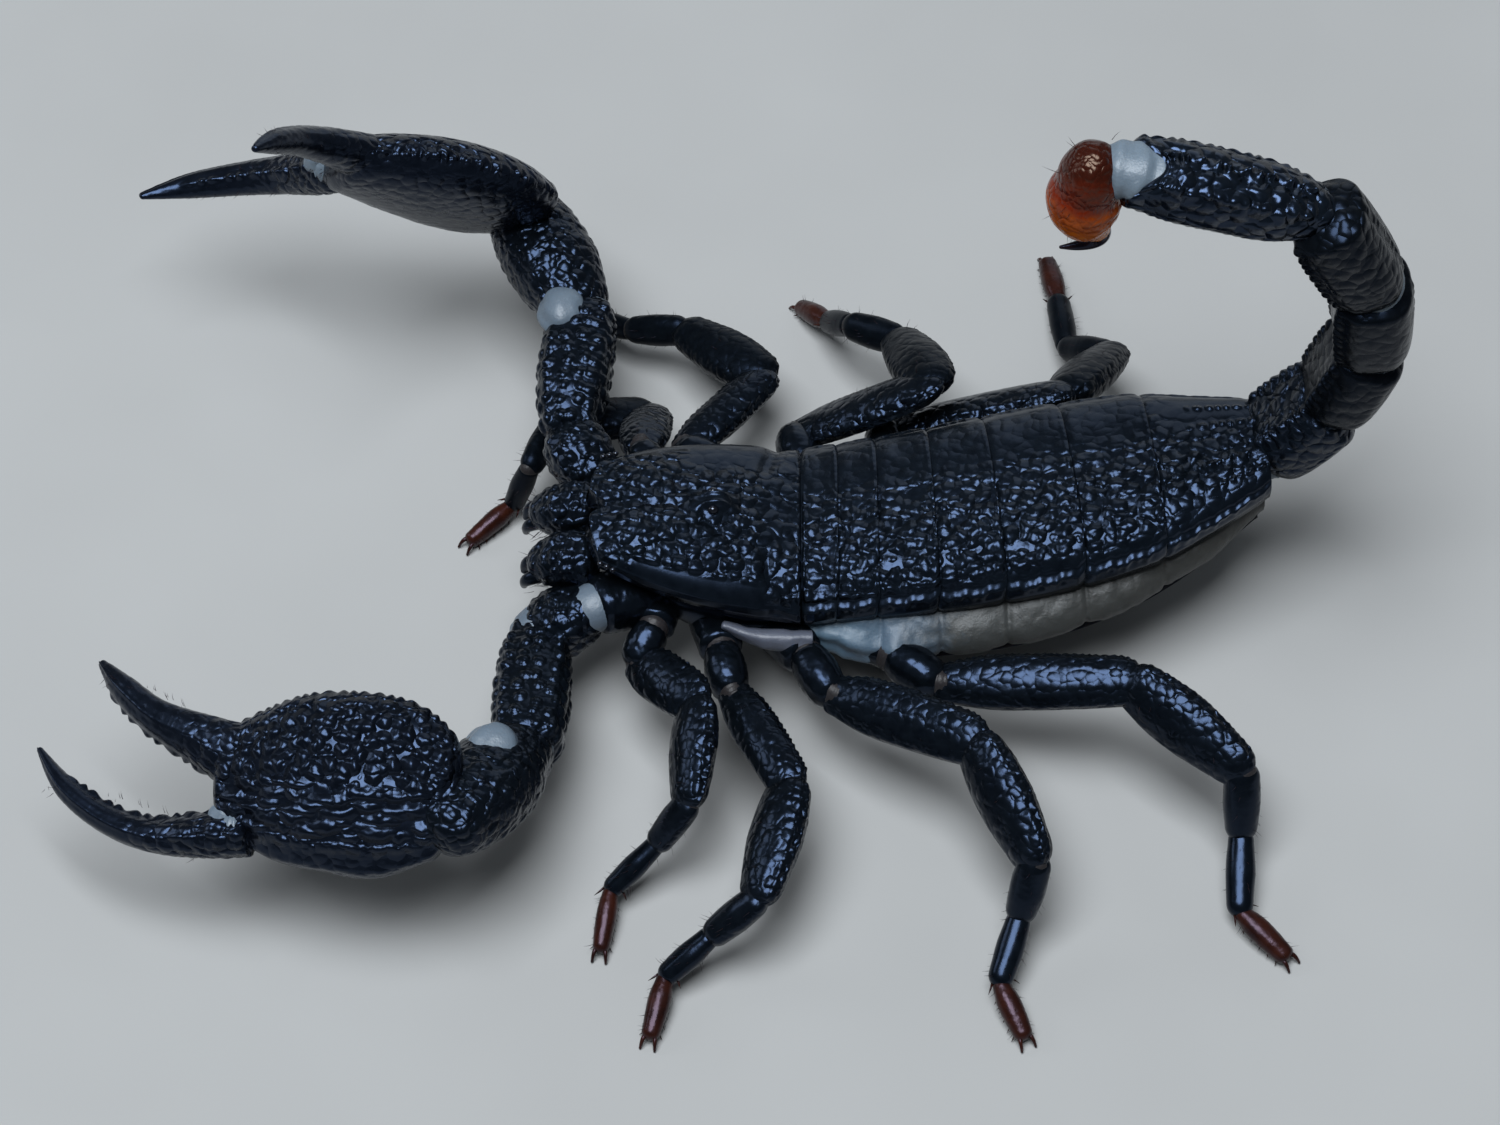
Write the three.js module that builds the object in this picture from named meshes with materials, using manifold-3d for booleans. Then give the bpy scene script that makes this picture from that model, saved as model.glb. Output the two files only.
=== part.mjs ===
// Emperor scorpion, life size, standing with its tail raised. Millimetres, +Z up.
// The head points along -X and the animal's right side is +Y.
import * as THREE from 'three';
import { mergeVertices } from 'three/addons/utils/BufferGeometryUtils.js';
import Module from 'manifold-3d';

const wasm = await Module();
wasm.setup();

// driving dimensions
const gap = 0.3;

// carapace: the plate over the fore body, tipped up at the front
const carapaceLength = 21.8;
const carapaceTilt = 12;
const carapaceHalfWidths = [6.2, 8.0, 9.3, 9.9, 10.0];
const carapaceDomes = [2.4, 3.6, 4.3, 4.8, 4.9];
const plateEdge = 0.8;
const eyeRadius = 0.55;
const socketRadius = 0.7;
const eyeMoundX = -9.6;
const sideEyeRadius = 0.36;
const sideEyeSpacing = 0.5;

// trunk: seven back plates over a soft body; the margin is where plate and skin meet
const marginHeight = 12.5;
const backPlateEnds = [0, 3.5, 7.4, 12.9, 18.9, 26.5, 34.5, 45.3];
// the trunk's bend to the right slants the plates' joints: forward shift per mm out to the right
const plateSlant = 0.1;
const backPlateHalfWidths = [10.0, 10.1, 10.3, 10.5, 10.7, 10.6, 9.7, 5.6];
const backPlateDomes = [4.9, 4.9, 4.9, 5.0, 5.0, 4.9, 4.6, 3.4];
const skinHalfWidths = [9.4, 11.8, 12.6, 12.7, 12.2, 10.9, 8.4, 5.0];
const skinDepths = [6.4, 7.4, 8.0, 8.3, 8.2, 7.6, 6.4, 4.6];
const trunkLength = backPlateEnds[7];
const pectineDrop = 9.6;

// tail: five segments and the sting bulb, each [heading, pitch] in degrees
const tailBase = [46.0, 8.4, 17.5];
const tailLengths = [8.9, 9.9, 10.9, 12.7, 18.6];
const tailPose = [[3, 51], [-14, 74], [-134, 80], [-170, 62], [174, 12]];
const tailHalfWidths = [4.9, 4.6, 4.4, 4.1, 3.5];
const tailHalfHeights = [3.9, 3.75, 3.8, 3.7, 3.2];
const tailRootShares = [0.84, 0.84, 0.84, 0.84, 0.64];
const tailTipShares = [0.95, 0.95, 0.95, 0.86, 0.86];
// sting bulb, its neck and the sting: offsets of their middle lines from the tail's end
const neckPath = [[2.95, -0.2, -0.62], [-2.65, -0.1, -0.32]];
const neckRadii = [2.4, 2.8, 2.6];
const bulbPath = [[-1.75, -0.1, 2.28], [-3.05, -0.1, -0.32], [-3.55, 0, -4.02], [-2.05, 0, -8.32]];
const bulbHalfWidths = [1.5, 3.3, 3.5, 3.1, 1.2];
const bulbHalfHeights = [1.5, 3.1, 3.4, 3.0, 1.2];
const stingPath = [
  [-2.05, 0, -7.72],
  [-1.75, 0, -9.12],
  [-2.55, 0, -10.12],
  [-3.85, 0, -10.62],
  [-5.35, 0, -10.82],
];
const stingRadii = [1.15, 0.9, 0.7, 0.48, 0.25];

// legs, first to fourth pair: coxa ends, segment lengths from trochanter to foot, depth of the femur
const legs = [
  {
    coxaRoot: [-13.5, 2.2, 9.0], coxaEnd: [-14.4, 8.9, 10.8],
    lengths: [3.9, 9.6, 10.2, 5.9, 6.4, 6.0], size: 0.94, deep: 1,
  },
  {
    coxaRoot: [-9.5, 2.4, 8.2], coxaEnd: [-7.8, 11.0, 9.9],
    lengths: [4.7, 13.2, 11.7, 6.3, 5.9, 6.0], size: 1.02, deep: 0.8,
  },
  {
    coxaRoot: [-6.0, 2.6, 7.8], coxaEnd: [0.4, 11.3, 9.5],
    lengths: [5.2, 16.3, 12.8, 6.4, 6.6, 5.7], size: 1.06, deep: 0.95,
  },
  {
    coxaRoot: [-2.5, 2.8, 7.8], coxaEnd: [9.0, 11.3, 9.5],
    lengths: [5.3, 19.2, 13.5, 7.0, 7.6, 6.2], size: 1.1, deep: 0.88,
  },
];
// [heading, pitch] of trochanter, femur, patella, tibia and basitarsus; the last
// segment has a heading only, because it reaches down to the floor
const legPoses = {
  left: [
    [[-120, -26], [-48, 19], [-94, -11], [-150, -52], [-144, -31], [-99]],
    [[-79, -4], [-64, 7], [-105, -10], [-158, -39], [-147, -29], [-104]],
    [[-62, -1], [-30, 13], [-65, -12], [-115, -61], [-109, -22], [-66]],
    [[-40, -1], [-6, 10], [-41, -8], [-85, -61], [-93, -20], [-45]],
  ],
  right: [
    [[115, 4], [86, -30], [-165, 6], [-111, 5], [-173, -72], [-137]],
    [[152, -2], [50, -3], [137, -11], [163, -19], [143, -24], [110]],
    [[101, -14], [1, 31], [106, -30], [144, -18], [117, -45], [125]],
    [[94, -10], [3, 16], [62, -30], [137, -36], [94, -9], [98]],
  ],
};
const soleHeight = 0.9;
const clawLength = 1.9;

// pedipalps: the arms that carry the claws
const armCoxaRoot = [-13.0, 3.4, 10.5];
const armCoxaEnd = [-20.2, 7.4, 12.0];
const armLengths = [6.4, 15.0, 15.8];
const armPoses = {
  left: [[-168, -26], [-92, 10], [-119, 21]],
  right: [[121, 12], [85, 3], [119, 6]],
};
const armHalfWidths = [3.3, 3.6, 4.5];
const armHalfHeights = [3.0, 3.1, 3.9];
// hand frame: heading and pitch of its outer edge, roll of its back away from the head,
// and the angle at which the movable finger stands open
const handPoses = {
  left: { heading: 169, pitch: -11, roll: 33, opening: 17 },
  right: { heading: -163, pitch: 28, roll: 59, opening: -52 },
};
const handLength = 20.5;
const handHalfWidths = [4.9, 8.1, 8.45, 7.5, 4.8];
const handMiddles = [2.6, 3.5, 3.8, 3.55, 3.4];
const handRises = [-1.5, -1.0, -0.1, 0.5, 0.7];
const handHalfDepths = [2.4, 3.4, 3.8, 3.4, 2.7];
// the fixed finger grows from the hand, the movable one from its own root beside it
const fixedFingerPath = [[16.5, 4.6, 0.6], [22, 5.9, 1.1], [28.8, 9.0, 0.8], [36.1, 13.9, -1.9]];
const fixedFingerHalfWidths = [3.2, 2.7, 1.7, 0.35];
const fixedFingerHalfDepths = [2.6, 2.1, 1.45, 0.35];
const movableFingerRoot = [20.4, -1.3, 1.0];
const movableFingerPath = [[-1, 0.4, 0], [6.6, -2.9, 0.9], [14.5, -2.7, 0.8], [21.6, 0.4, -0.7]];
const movableFingerHalfWidths = [2.2, 1.75, 1.4, 0.35];
const movableFingerHalfDepths = [2.4, 2.05, 1.6, 0.35];

// chelicerae: the short jaws under the front edge of the carapace
const jawLength = 4.6;
const jawHalfWidth = 2.75;
const jawHalfHeight = 2.5;

// materials
function shell(color, roughness) {
  return new THREE.MeshStandardMaterial({ color, roughness, metalness: 0 });
}
const materials = {
  plate: shell(0x0d0f12, 0.35),
  limb: shell(0x0b0c0f, 0.3),
  foot: shell(0x2e120c, 0.4),
  skin: shell(0x8f8f8c, 0.55),
  bulb: shell(0x7a2c0e, 0.3),
  sting: shell(0x120a08, 0.25),
  pectine: shell(0x6b5a48, 0.5),
  eye: shell(0x050505, 0.08),
};

// small helpers
const radians = THREE.MathUtils.degToRad;
const upward = new THREE.Vector3(0, 0, 1);
const point = (xyz) => new THREE.Vector3(...xyz);

// a unit vector from a heading in the floor plane and a pitch above it
function direction(heading, pitch) {
  const level = Math.cos(radians(pitch));
  const x = level * Math.cos(radians(heading));
  const y = level * Math.sin(radians(heading));
  return new THREE.Vector3(x, y, Math.sin(radians(pitch)));
}

// a smooth function of 0 to 1 through evenly spaced values
function smoothly(values) {
  const knots = values.map((value, i) => new THREE.Vector2(i / (values.length - 1), value));
  const spline = new THREE.SplineCurve(knots);
  return (t) => spline.getPoint(THREE.MathUtils.clamp(t, 0, 1)).y;
}

// a smooth function through values at given places
function through(places, values) {
  return (x) => {
    let i = 0;
    while (i < places.length - 2 && x > places[i + 1]) i += 1;
    const t = THREE.MathUtils.clamp((x - places[i]) / (places[i + 1] - places[i]), 0, 1);
    return values[i] + (values[i + 1] - values[i]) * t;
  };
}

// one closed solid from a three.js geometry, with its faces pointing out
function solidFrom(geometry) {
  const bare = geometry.index ? geometry.clone() : mergeVertices(geometry, 1e-5);
  bare.deleteAttribute('normal');
  bare.deleteAttribute('uv');
  const merged = mergeVertices(bare, 1e-4);
  const corners = merged.index.array;
  const triVerts = [];
  for (let i = 0; i < corners.length; i += 3) {
    const [a, b, c] = [corners[i], corners[i + 1], corners[i + 2]];
    if (a !== b && b !== c && c !== a) triVerts.push(a, b, c);
  }
  const vertProperties = new Float32Array(merged.attributes.position.array);
  const build = (order) => new wasm.Manifold(new wasm.Mesh({
    numProp: 3, vertProperties, triVerts: Uint32Array.from(order),
  }));
  const made = build(triVerts);
  if (made.volume() > 0) return made;
  return build(triVerts.reverse());
}

function geometryFrom(solid) {
  const mesh = solid.getMesh();
  const geometry = new THREE.BufferGeometry();
  geometry.setAttribute('position', new THREE.BufferAttribute(Float32Array.from(mesh.vertProperties), 3));
  geometry.setIndex(new THREE.BufferAttribute(Uint32Array.from(mesh.triVerts), 1));
  geometry.computeVertexNormals();
  return geometry;
}

// what lies more than half a gap past a plane, on the side its normal points to
function keepBeyond(solid, place, normal, clearance = gap / 2) {
  const reach = 120;
  const block = new THREE.BoxGeometry(reach, reach, reach);
  block.translate(0, 0, reach / 2 + clearance);
  const turn = new THREE.Quaternion().setFromUnitVectors(upward, normal.clone().normalize());
  block.applyQuaternion(turn);
  block.translate(place.x, place.y, place.z);
  return solid.intersect(solidFrom(block));
}

// a closed body swept along a curve: half width and half height are functions of 0 to 1,
// and the height lies in the plane of the curve and the given up direction
function sweep({ curve, halfWidth, halfHeight, up = upward, sides = 8, stations, square = 2 }) {
  const profile = [new THREE.Vector2(0, stations[0])];
  for (const t of stations) profile.push(new THREE.Vector2(1, t));
  profile.push(new THREE.Vector2(0, stations[stations.length - 1]));
  const body = new THREE.LatheGeometry(profile, sides);
  const places = body.attributes.position;
  const at = new THREE.Vector3();
  for (let i = 0; i < places.count; i += 1) {
    at.fromBufferAttribute(places, i);
    const centre = curve.getPoint(at.y);
    const along = curve.getTangent(at.y);
    const side = new THREE.Vector3().crossVectors(up, along).normalize();
    const top = new THREE.Vector3().crossVectors(along, side);
    const swell = Math.hypot(at.x, at.z) > 0.5
      ? (Math.abs(at.x) ** square + Math.abs(at.z) ** square) ** (-1 / square) : 0;
    centre.addScaledVector(side, at.x * swell * halfWidth(at.y));
    centre.addScaledVector(top, at.z * swell * halfHeight(at.y));
    places.setXYZ(i, centre.x, centre.y, centre.z);
  }
  return solidFrom(body);
}

// one limb segment: a spindle from joint to joint with rounded ends past both
function segment({
  from, to, widths, heights, sides = 8, up = upward, inner = [0.25, 0.62], square = 2, grow = 0,
}) {
  const length = from.distanceTo(to);
  const past = Math.min(0.5 * heights[0], 0.2 * length) / length;
  const beyond = Math.min(0.5 * heights[2], 0.2 * length) / length;
  const start = from.clone().lerp(to, -past);
  const end = from.clone().lerp(to, 1 + beyond);
  const inside = (t) => t * (1 + past + beyond) - past;
  const outside = (s) => (s + past) / (1 + past + beyond);
  const round = (s) => {
    if (s < 0) return Math.sqrt(Math.max(0, 1 - (s / past) ** 2 * 0.8));
    if (s > 1) return Math.sqrt(Math.max(0, 1 - ((s - 1) / beyond) ** 2 * 0.8));
    return 1;
  };
  const width = smoothly(widths);
  const height = smoothly(heights);
  const stations = [0, outside(-past * 0.4), ...inner.map(outside), outside(1 + beyond * 0.4), 1];
  return sweep({
    curve: new THREE.LineCurve3(start, end),
    halfWidth: (t) => (width(inside(t)) + grow) * round(inside(t)),
    halfHeight: (t) => (height(inside(t)) + grow) * round(inside(t)),
    up, sides, square, stations,
  });
}

// joints of a limb from its first joint, lengths and [heading, pitch] pairs
function jointsAlong(first, lengths, pose) {
  const joints = [first];
  lengths.forEach((length, i) => {
    const step = direction(...pose[i]).multiplyScalar(length);
    joints.push(joints[i].clone().add(step));
  });
  return joints;
}

// trims two segments that meet at a joint to the plane halfway between them
function meetAt(before, after, joint, inDirection, outDirection) {
  const normal = inDirection.clone().add(outDirection).normalize();
  const back = normal.clone().negate();
  return [keepBeyond(before, joint, back), keepBeyond(after, joint, normal)];
}

// the scorpion
const scorpion = new THREE.Group();

function add(name, solid, material) {
  const mesh = new THREE.Mesh(geometryFrom(solid), material.clone());
  mesh.name = name;
  scorpion.add(mesh);
}

// the trunk's middle line bends to the right and rises toward the tail
const trunkSide = (x) => 0.085 * x + 0.0016 * x * x;
const trunkMargin = (x) => marginHeight + 0.06 * x + 0.0011 * x * x;

// a domed plate: a block whose top follows the dome across its width
function domedPlate({ fromX, toX, halfWidth, dome, place, lengthwise = 2, across = 8, notch = () => 0 }) {
  const block = new THREE.BoxGeometry(2, 2, 2, lengthwise, across, 1);
  const places = block.attributes.position;
  for (let i = 0; i < places.count; i += 1) {
    const t = (places.getX(i) + 1) / 2;
    const q = Math.sin(places.getY(i) * Math.PI / 2);
    const x = fromX + (toX - fromX) * t;
    const arch = (1 - Math.abs(q) ** 2.6) ** (1 / 2.2);
    const z = places.getZ(i) > 0 ? plateEdge + (dome(x) - plateEdge) * arch : 0;
    const at = place(x + notch(t, q), halfWidth(x) * q, z);
    places.setXYZ(i, at.x, at.y, at.z);
  }
  return solidFrom(block);
}

// fore body
const tilt = radians(carapaceTilt);

// a place on the tipped fore body: x back from the joint with the trunk, where it
// stands upright, leaning fully from a third of the way forward
function onForeBody(x, y, z) {
  const lean = Math.sin(tilt) * Math.min(1, -3 * x / carapaceLength);
  return new THREE.Vector3(
    Math.cos(tilt) * x + lean * z, y, marginHeight - Math.sin(tilt) * x + Math.cos(tilt) * z);
}

const foreWidth = (x) => smoothly(carapaceHalfWidths)(1 + x / carapaceLength);
const foreDome = (x) => smoothly(carapaceDomes)(1 + x / carapaceLength);

function carapace() {
  const frontNotch = (t, q) => (1 - t) ** 3 * 1.8 * Math.exp(-((q / 0.16) ** 2));
  const frontRound = (t, q) => (1 - t) ** 2 * 1.6 * q * q;
  const plate = domedPlate({
    fromX: -carapaceLength,
    toX: -gap,
    halfWidth: foreWidth,
    dome: foreDome,
    place: onForeBody,
    lengthwise: 5,
    across: 12,
    notch: (t, q) => frontNotch(t, q) + frontRound(t, q),
  });
  const mound = new THREE.SphereGeometry(1, 10, 6);
  mound.scale(2.3, 1.6, 1.2);
  const top = onForeBody(eyeMoundX, 0, foreDome(eyeMoundX) - 0.3);
  mound.translate(top.x, top.y, top.z);
  const middleSockets = eyeBall('left', socketRadius).add(eyeBall('right', socketRadius));
  const sideRadius = sideEyeRadius + socketRadius - eyeRadius;
  const sideSockets = sideEyes('left', sideRadius).add(sideEyes('right', sideRadius));
  return plate.add(solidFrom(mound)).subtract(middleSockets).subtract(sideSockets);
}

// a middle eye, on the flank of its mound
function eyeBall(side, radius) {
  const ball = new THREE.SphereGeometry(radius, 8, 5);
  const seat = onForeBody(eyeMoundX - 0.2, side === 'left' ? -1.2 : 1.2, foreDome(eyeMoundX) + 0.5);
  ball.translate(seat.x, seat.y, seat.z);
  return solidFrom(ball);
}

// the three small eyes in a row at each front corner
function sideEyes(side, radius) {
  const sign = side === 'left' ? -1 : 1;
  return [0, 1, 2].map((i) => {
    const x = -carapaceLength + 1.6 + sideEyeSpacing * i;
    const ball = new THREE.SphereGeometry(radius, 5, 4);
    const seat = onForeBody(x, sign * (foreWidth(x) - 0.12 + 0.08 * i), plateEdge + 0.5);
    ball.translate(seat.x, seat.y, seat.z);
    return solidFrom(ball);
  }).reduce((sum, ball) => sum.add(ball));
}

// a comb under the body, its teeth drawn as one toothed plate
function pectine(side) {
  const sign = side === 'left' ? -1 : 1;
  const at = (x, y, z) => new THREE.Vector3(x, trunkSide(x) + sign * y, trunkMargin(x) - pectineDrop + z);
  return sweep({
    curve: new THREE.CatmullRomCurve3([at(0.6, 1.6, 0), at(2.4, 4.6, -0.1), at(5.0, 7.6, 0.5)]),
    halfWidth: smoothly([1.1, 1.5, 0.8]), halfHeight: smoothly([0.5, 0.45, 0.35]),
    sides: 6, stations: [0, 0.35, 0.7, 1],
  });
}

function foreBodyBase() {
  const front = onForeBody(-carapaceLength + 3.2, 0, -3.4);
  const rear = new THREE.Vector3(-gap, 0, marginHeight - 3.6);
  const body = sweep({
    curve: new THREE.LineCurve3(front, rear),
    halfWidth: smoothly([4.6, 8.6, 9.0]),
    halfHeight: smoothly([3.0, 4.2, 4.4]),
    sides: 10,
    square: 3,
    stations: [0, 0.25, 0.6, 1],
  });
  const underPlate = onForeBody(-8, 0, -gap);
  const downward = new THREE.Vector3(-Math.sin(tilt), 0, -Math.cos(tilt));
  const trimmed = keepBeyond(body, underPlate, downward, 0);
  return keepBeyond(trimmed, new THREE.Vector3(0, 0, 0), new THREE.Vector3(-1, 0, 0), gap / 2);
}

// limbs
const mirrored = (xyz, side) => new THREE.Vector3(xyz[0], side === 'left' ? -xyz[1] : xyz[1], xyz[2]);

function coxaOf(leg, side, grow = 0) {
  const s = leg.size;
  return segment({
    from: mirrored(leg.coxaRoot, side), to: mirrored(leg.coxaEnd, side),
    widths: [2.0 * s, 2.3 * s, 2.0 * s], heights: [2.1 * s, 2.4 * s, 2.1 * s],
    sides: 6, inner: [0.5], grow,
  });
}

function trochanterOf(leg, hip0, hip, grow = 0) {
  const s = leg.size;
  return segment({
    from: hip0, to: hip,
    widths: [1.7 * s, 2.0 * s, 1.7 * s], heights: [1.9 * s, 2.2 * s, 1.9 * s],
    sides: 6, inner: [0.5], grow,
  });
}

function legJoints(leg, pose, side) {
  const joints = jointsAlong(mirrored(leg.coxaEnd, side), leg.lengths.slice(0, 5), pose.slice(0, 5));
  const ankle = joints[5];
  const length = leg.lengths[5];
  const drop = THREE.MathUtils.radToDeg(Math.asin((soleHeight - ankle.z) / length));
  joints.push(ankle.clone().add(direction(pose[5][0], drop).multiplyScalar(length)));
  return joints;
}

// the last joint's two curved claws, pointing on and down
function footClaws(ankle, toe, s) {
  const onward = toe.clone().sub(ankle).setZ(0).normalize();
  const across = new THREE.Vector3(-onward.y, onward.x, 0);
  return [-1, 1].map((which) => {
    const root = toe.clone().addScaledVector(onward, -0.5).addScaledVector(across, 0.4 * which * s);
    const knuckle = root.clone().addScaledVector(onward, clawLength * 0.6);
    const tip = root.clone().addScaledVector(onward, clawLength + 0.5);
    knuckle.addScaledVector(across, 0.55 * which);
    tip.addScaledVector(across, 0.8 * which);
    knuckle.z = soleHeight + 0.35;
    tip.z = 0.32;
    return sweep({
      curve: new THREE.QuadraticBezierCurve3(root, knuckle, tip),
      halfWidth: smoothly([0.5, 0.42, 0.26]), halfHeight: smoothly([0.55, 0.45, 0.28]),
      sides: 4, stations: [0, 0.6, 1],
    });
  });
}

function buildLeg(side, index) {
  const leg = legs[index];
  const s = leg.size;
  const coxaStart = mirrored(leg.coxaRoot, side);
  const [hip0, hip, knee, shin, heel, ankle, toe] = legJoints(leg, legPoses[side][index], side);
  const aim = (a, b) => b.clone().sub(a).normalize();

  const trochanter = trochanterOf(leg, hip0, hip);
  const femur = segment({
    from: hip, to: knee, inner: [0.3, 0.7], up: aim(hip, knee).sub(aim(knee, shin)),
    widths: [1.3 * s, 1.6 * s, 1.5 * s], heights: [1.9 * s, 2.7 * s * leg.deep, 2.4 * s * leg.deep],
  });
  const patella = segment({
    from: knee, to: shin, inner: [0.3, 0.7], up: aim(hip, knee).sub(aim(shin, heel)),
    widths: [1.3 * s, 1.8 * s, 1.4 * s], heights: [1.8 * s, 2.75 * s, 1.8 * s],
  });
  const before = shin.clone().addScaledVector(aim(heel, shin), 0.6);
  const lowerLeg = sweep({
    curve: new THREE.CatmullRomCurve3([before, heel, ankle, toe], false, 'catmullrom', 0.25),
    halfWidth: smoothly([1.2 * s, 1.4 * s, 1.0 * s, 1.15 * s, 0.95, 1.1, 0.75]),
    halfHeight: smoothly([1.3 * s, 1.65 * s, 1.15 * s, 1.3 * s, 1.0, 1.1, 0.9]),
    up: toe.clone().sub(ankle).setZ(0).normalize().add(upward),
    sides: 6, stations: [0, 0.14, 0.27, 0.41, 0.5, 0.65, 1],
  });

  const [, upperStart] = meetAt(trochanter, trochanter, hip0, aim(coxaStart, hip0), aim(hip0, hip));
  const [upper, middleStart] = meetAt(
    upperStart.add(femur), patella, knee, aim(hip, knee), aim(knee, shin),
  );
  const lower = footClaws(ankle, toe, s).reduce((sum, claw) => sum.add(claw), lowerLeg);
  const [middle, foot] = meetAt(middleStart, lower, shin, aim(knee, shin), aim(shin, heel));
  const floor = new THREE.Vector3(0, 0, 0);

  const label = `leg_${index + 1}_${side}`;
  add(`${label}_femur`, upper, materials.limb);
  add(`${label}_patella`, middle, materials.limb);
  add(`${label}_foot`, keepBeyond(foot, floor, upward, 0), materials.foot);
}

// pedipalps
function handFrame(side) {
  const pose = handPoses[side];
  const outward = side === 'left' ? -1 : 1;
  const along = direction(pose.heading, pose.pitch);
  const inner = new THREE.Vector3().crossVectors(upward, along).normalize();
  if (inner.y * outward > 0) inner.negate();
  const back = new THREE.Vector3().crossVectors(along, inner);
  if (back.z < 0) back.negate();
  const roll = radians(pose.roll);
  const innerRolled = inner.clone().multiplyScalar(Math.cos(roll))
    .addScaledVector(back, Math.sin(roll));
  const backRolled = back.clone().multiplyScalar(Math.cos(roll))
    .addScaledVector(inner, -Math.sin(roll));
  return { along, inner: innerRolled, back: backRolled };
}

function buildArm(side) {
  const coxaRoot = mirrored(armCoxaRoot, side);
  const [shoulder, elbowIn, elbow, wrist] = jointsAlong(
    mirrored(armCoxaEnd, side), armLengths, armPoses[side],
  );
  const frame = handFrame(side);
  const inHand = (xyz) => wrist.clone()
    .addScaledVector(frame.along, xyz[0])
    .addScaledVector(frame.inner, xyz[1])
    .addScaledVector(frame.back, xyz[2]);
  const aim = (a, b) => b.clone().sub(a).normalize();
  const armPart = (from, to, i, ends, inner) => segment({
    from, to, sides: 10, inner,
    widths: [armHalfWidths[i] * ends[0], armHalfWidths[i], armHalfWidths[i] * ends[1]],
    heights: [armHalfHeights[i] * ends[0], armHalfHeights[i], armHalfHeights[i] * ends[1]],
  });

  const trochanter = armPart(shoulder, elbowIn, 0, [0.8, 0.9], [0.5]);
  const femur = armPart(elbowIn, elbow, 1, [0.85, 0.95], [0.25, 0.7]);
  const patella = armPart(elbow, wrist, 2, [0.74, 0.76], [0.3, 0.7]);

  const palmMiddle = smoothly(handMiddles);
  const palmRise = smoothly(handRises);
  const palmKnots = [-0.09, 0.25, 0.5, 0.75, 1]
    .map((t) => inHand([handLength * t, palmMiddle(t), palmRise(t)]));
  const palm = sweep({
    curve: new THREE.CatmullRomCurve3(palmKnots),
    halfWidth: smoothly(handHalfWidths), halfHeight: smoothly(handHalfDepths),
    up: frame.back, sides: 12, square: 2.2, stations: [0, 0.1, 0.25, 0.45, 0.65, 0.85, 1],
  });
  const fixedFinger = sweep({
    curve: new THREE.CatmullRomCurve3(fixedFingerPath.map(inHand)),
    halfWidth: smoothly(fixedFingerHalfWidths), halfHeight: smoothly(fixedFingerHalfDepths),
    up: frame.back, sides: 8, stations: [0, 0.25, 0.5, 0.75, 0.92, 1],
  });

  const open = radians(handPoses[side].opening);
  const inFinger = (x, y, z) => inHand([
    movableFingerRoot[0] + x * Math.cos(open) - y * Math.sin(open),
    movableFingerRoot[1] + x * Math.sin(open) + y * Math.cos(open),
    movableFingerRoot[2] + z,
  ]);
  const movableFinger = sweep({
    curve: new THREE.CatmullRomCurve3(movableFingerPath.map((xyz) => inFinger(...xyz))),
    halfWidth: smoothly(movableFingerHalfWidths), halfHeight: smoothly(movableFingerHalfDepths),
    up: frame.back, sides: 8, stations: [0, 0.25, 0.5, 0.75, 0.92, 1],
  });

  const rootAim = aim(coxaRoot, shoulder);
  const shortAim = aim(shoulder, elbowIn);
  const upperAim = aim(elbowIn, elbow);
  const foreAim = aim(elbow, wrist);
  const [, armStart] = meetAt(trochanter, trochanter, shoulder, rootAim, shortAim);
  const [upper, femurStart] = meetAt(armStart, femur, elbowIn, shortAim, upperAim);
  const [middle, patellaStart] = meetAt(femurStart, patella, elbow, upperAim, foreAim);
  const [lower, palmStart] = meetAt(patellaStart, palm, wrist, foreAim, frame.along);
  const fingerAim = inFinger(1, 0, 0).sub(inFinger(0, 0, 0)).normalize();
  const hinge = inFinger(0.2, 0, 0);
  const [palmEnd, finger] = meetAt(palmStart, movableFinger, hinge, fingerAim, fingerAim);

  const label = `pedipalp_${side}`;
  add(`${label}_trochanter`, upper, materials.limb);
  add(`${label}_femur`, middle, materials.limb);
  add(`${label}_patella`, lower, materials.limb);
  add(`${label}_hand`, palmEnd.add(fixedFinger), materials.limb);
  add(`${label}_finger`, finger, materials.limb);
}

// build
add('carapace', carapace(), materials.plate);

let base = foreBodyBase();
for (const side of ['left', 'right']) {
  legs.forEach((leg, i) => {
    const root = mirrored(leg.coxaRoot, side);
    const end = mirrored(leg.coxaEnd, side);
    const inDirection = end.clone().sub(root).normalize();
    const outDirection = direction(...legPoses[side][i][0]);
    const [coxa] = meetAt(coxaOf(leg, side), coxaOf(leg, side), end, inDirection, outDirection);
    base = base.add(coxa);
  });
  const root = mirrored(armCoxaRoot, side);
  const end = mirrored(armCoxaEnd, side);
  const coxa = segment({
    from: root, to: end, sides: 8, inner: [0.5],
    widths: [2.6, 3.2, 2.8], heights: [2.4, 2.9, 2.6],
  });
  const inDirection = end.clone().sub(root).normalize();
  const [trimmed] = meetAt(coxa, coxa, end, inDirection, direction(...armPoses[side][0]));
  base = base.add(trimmed);
}
add('prosoma_base', base, materials.limb);

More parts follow.
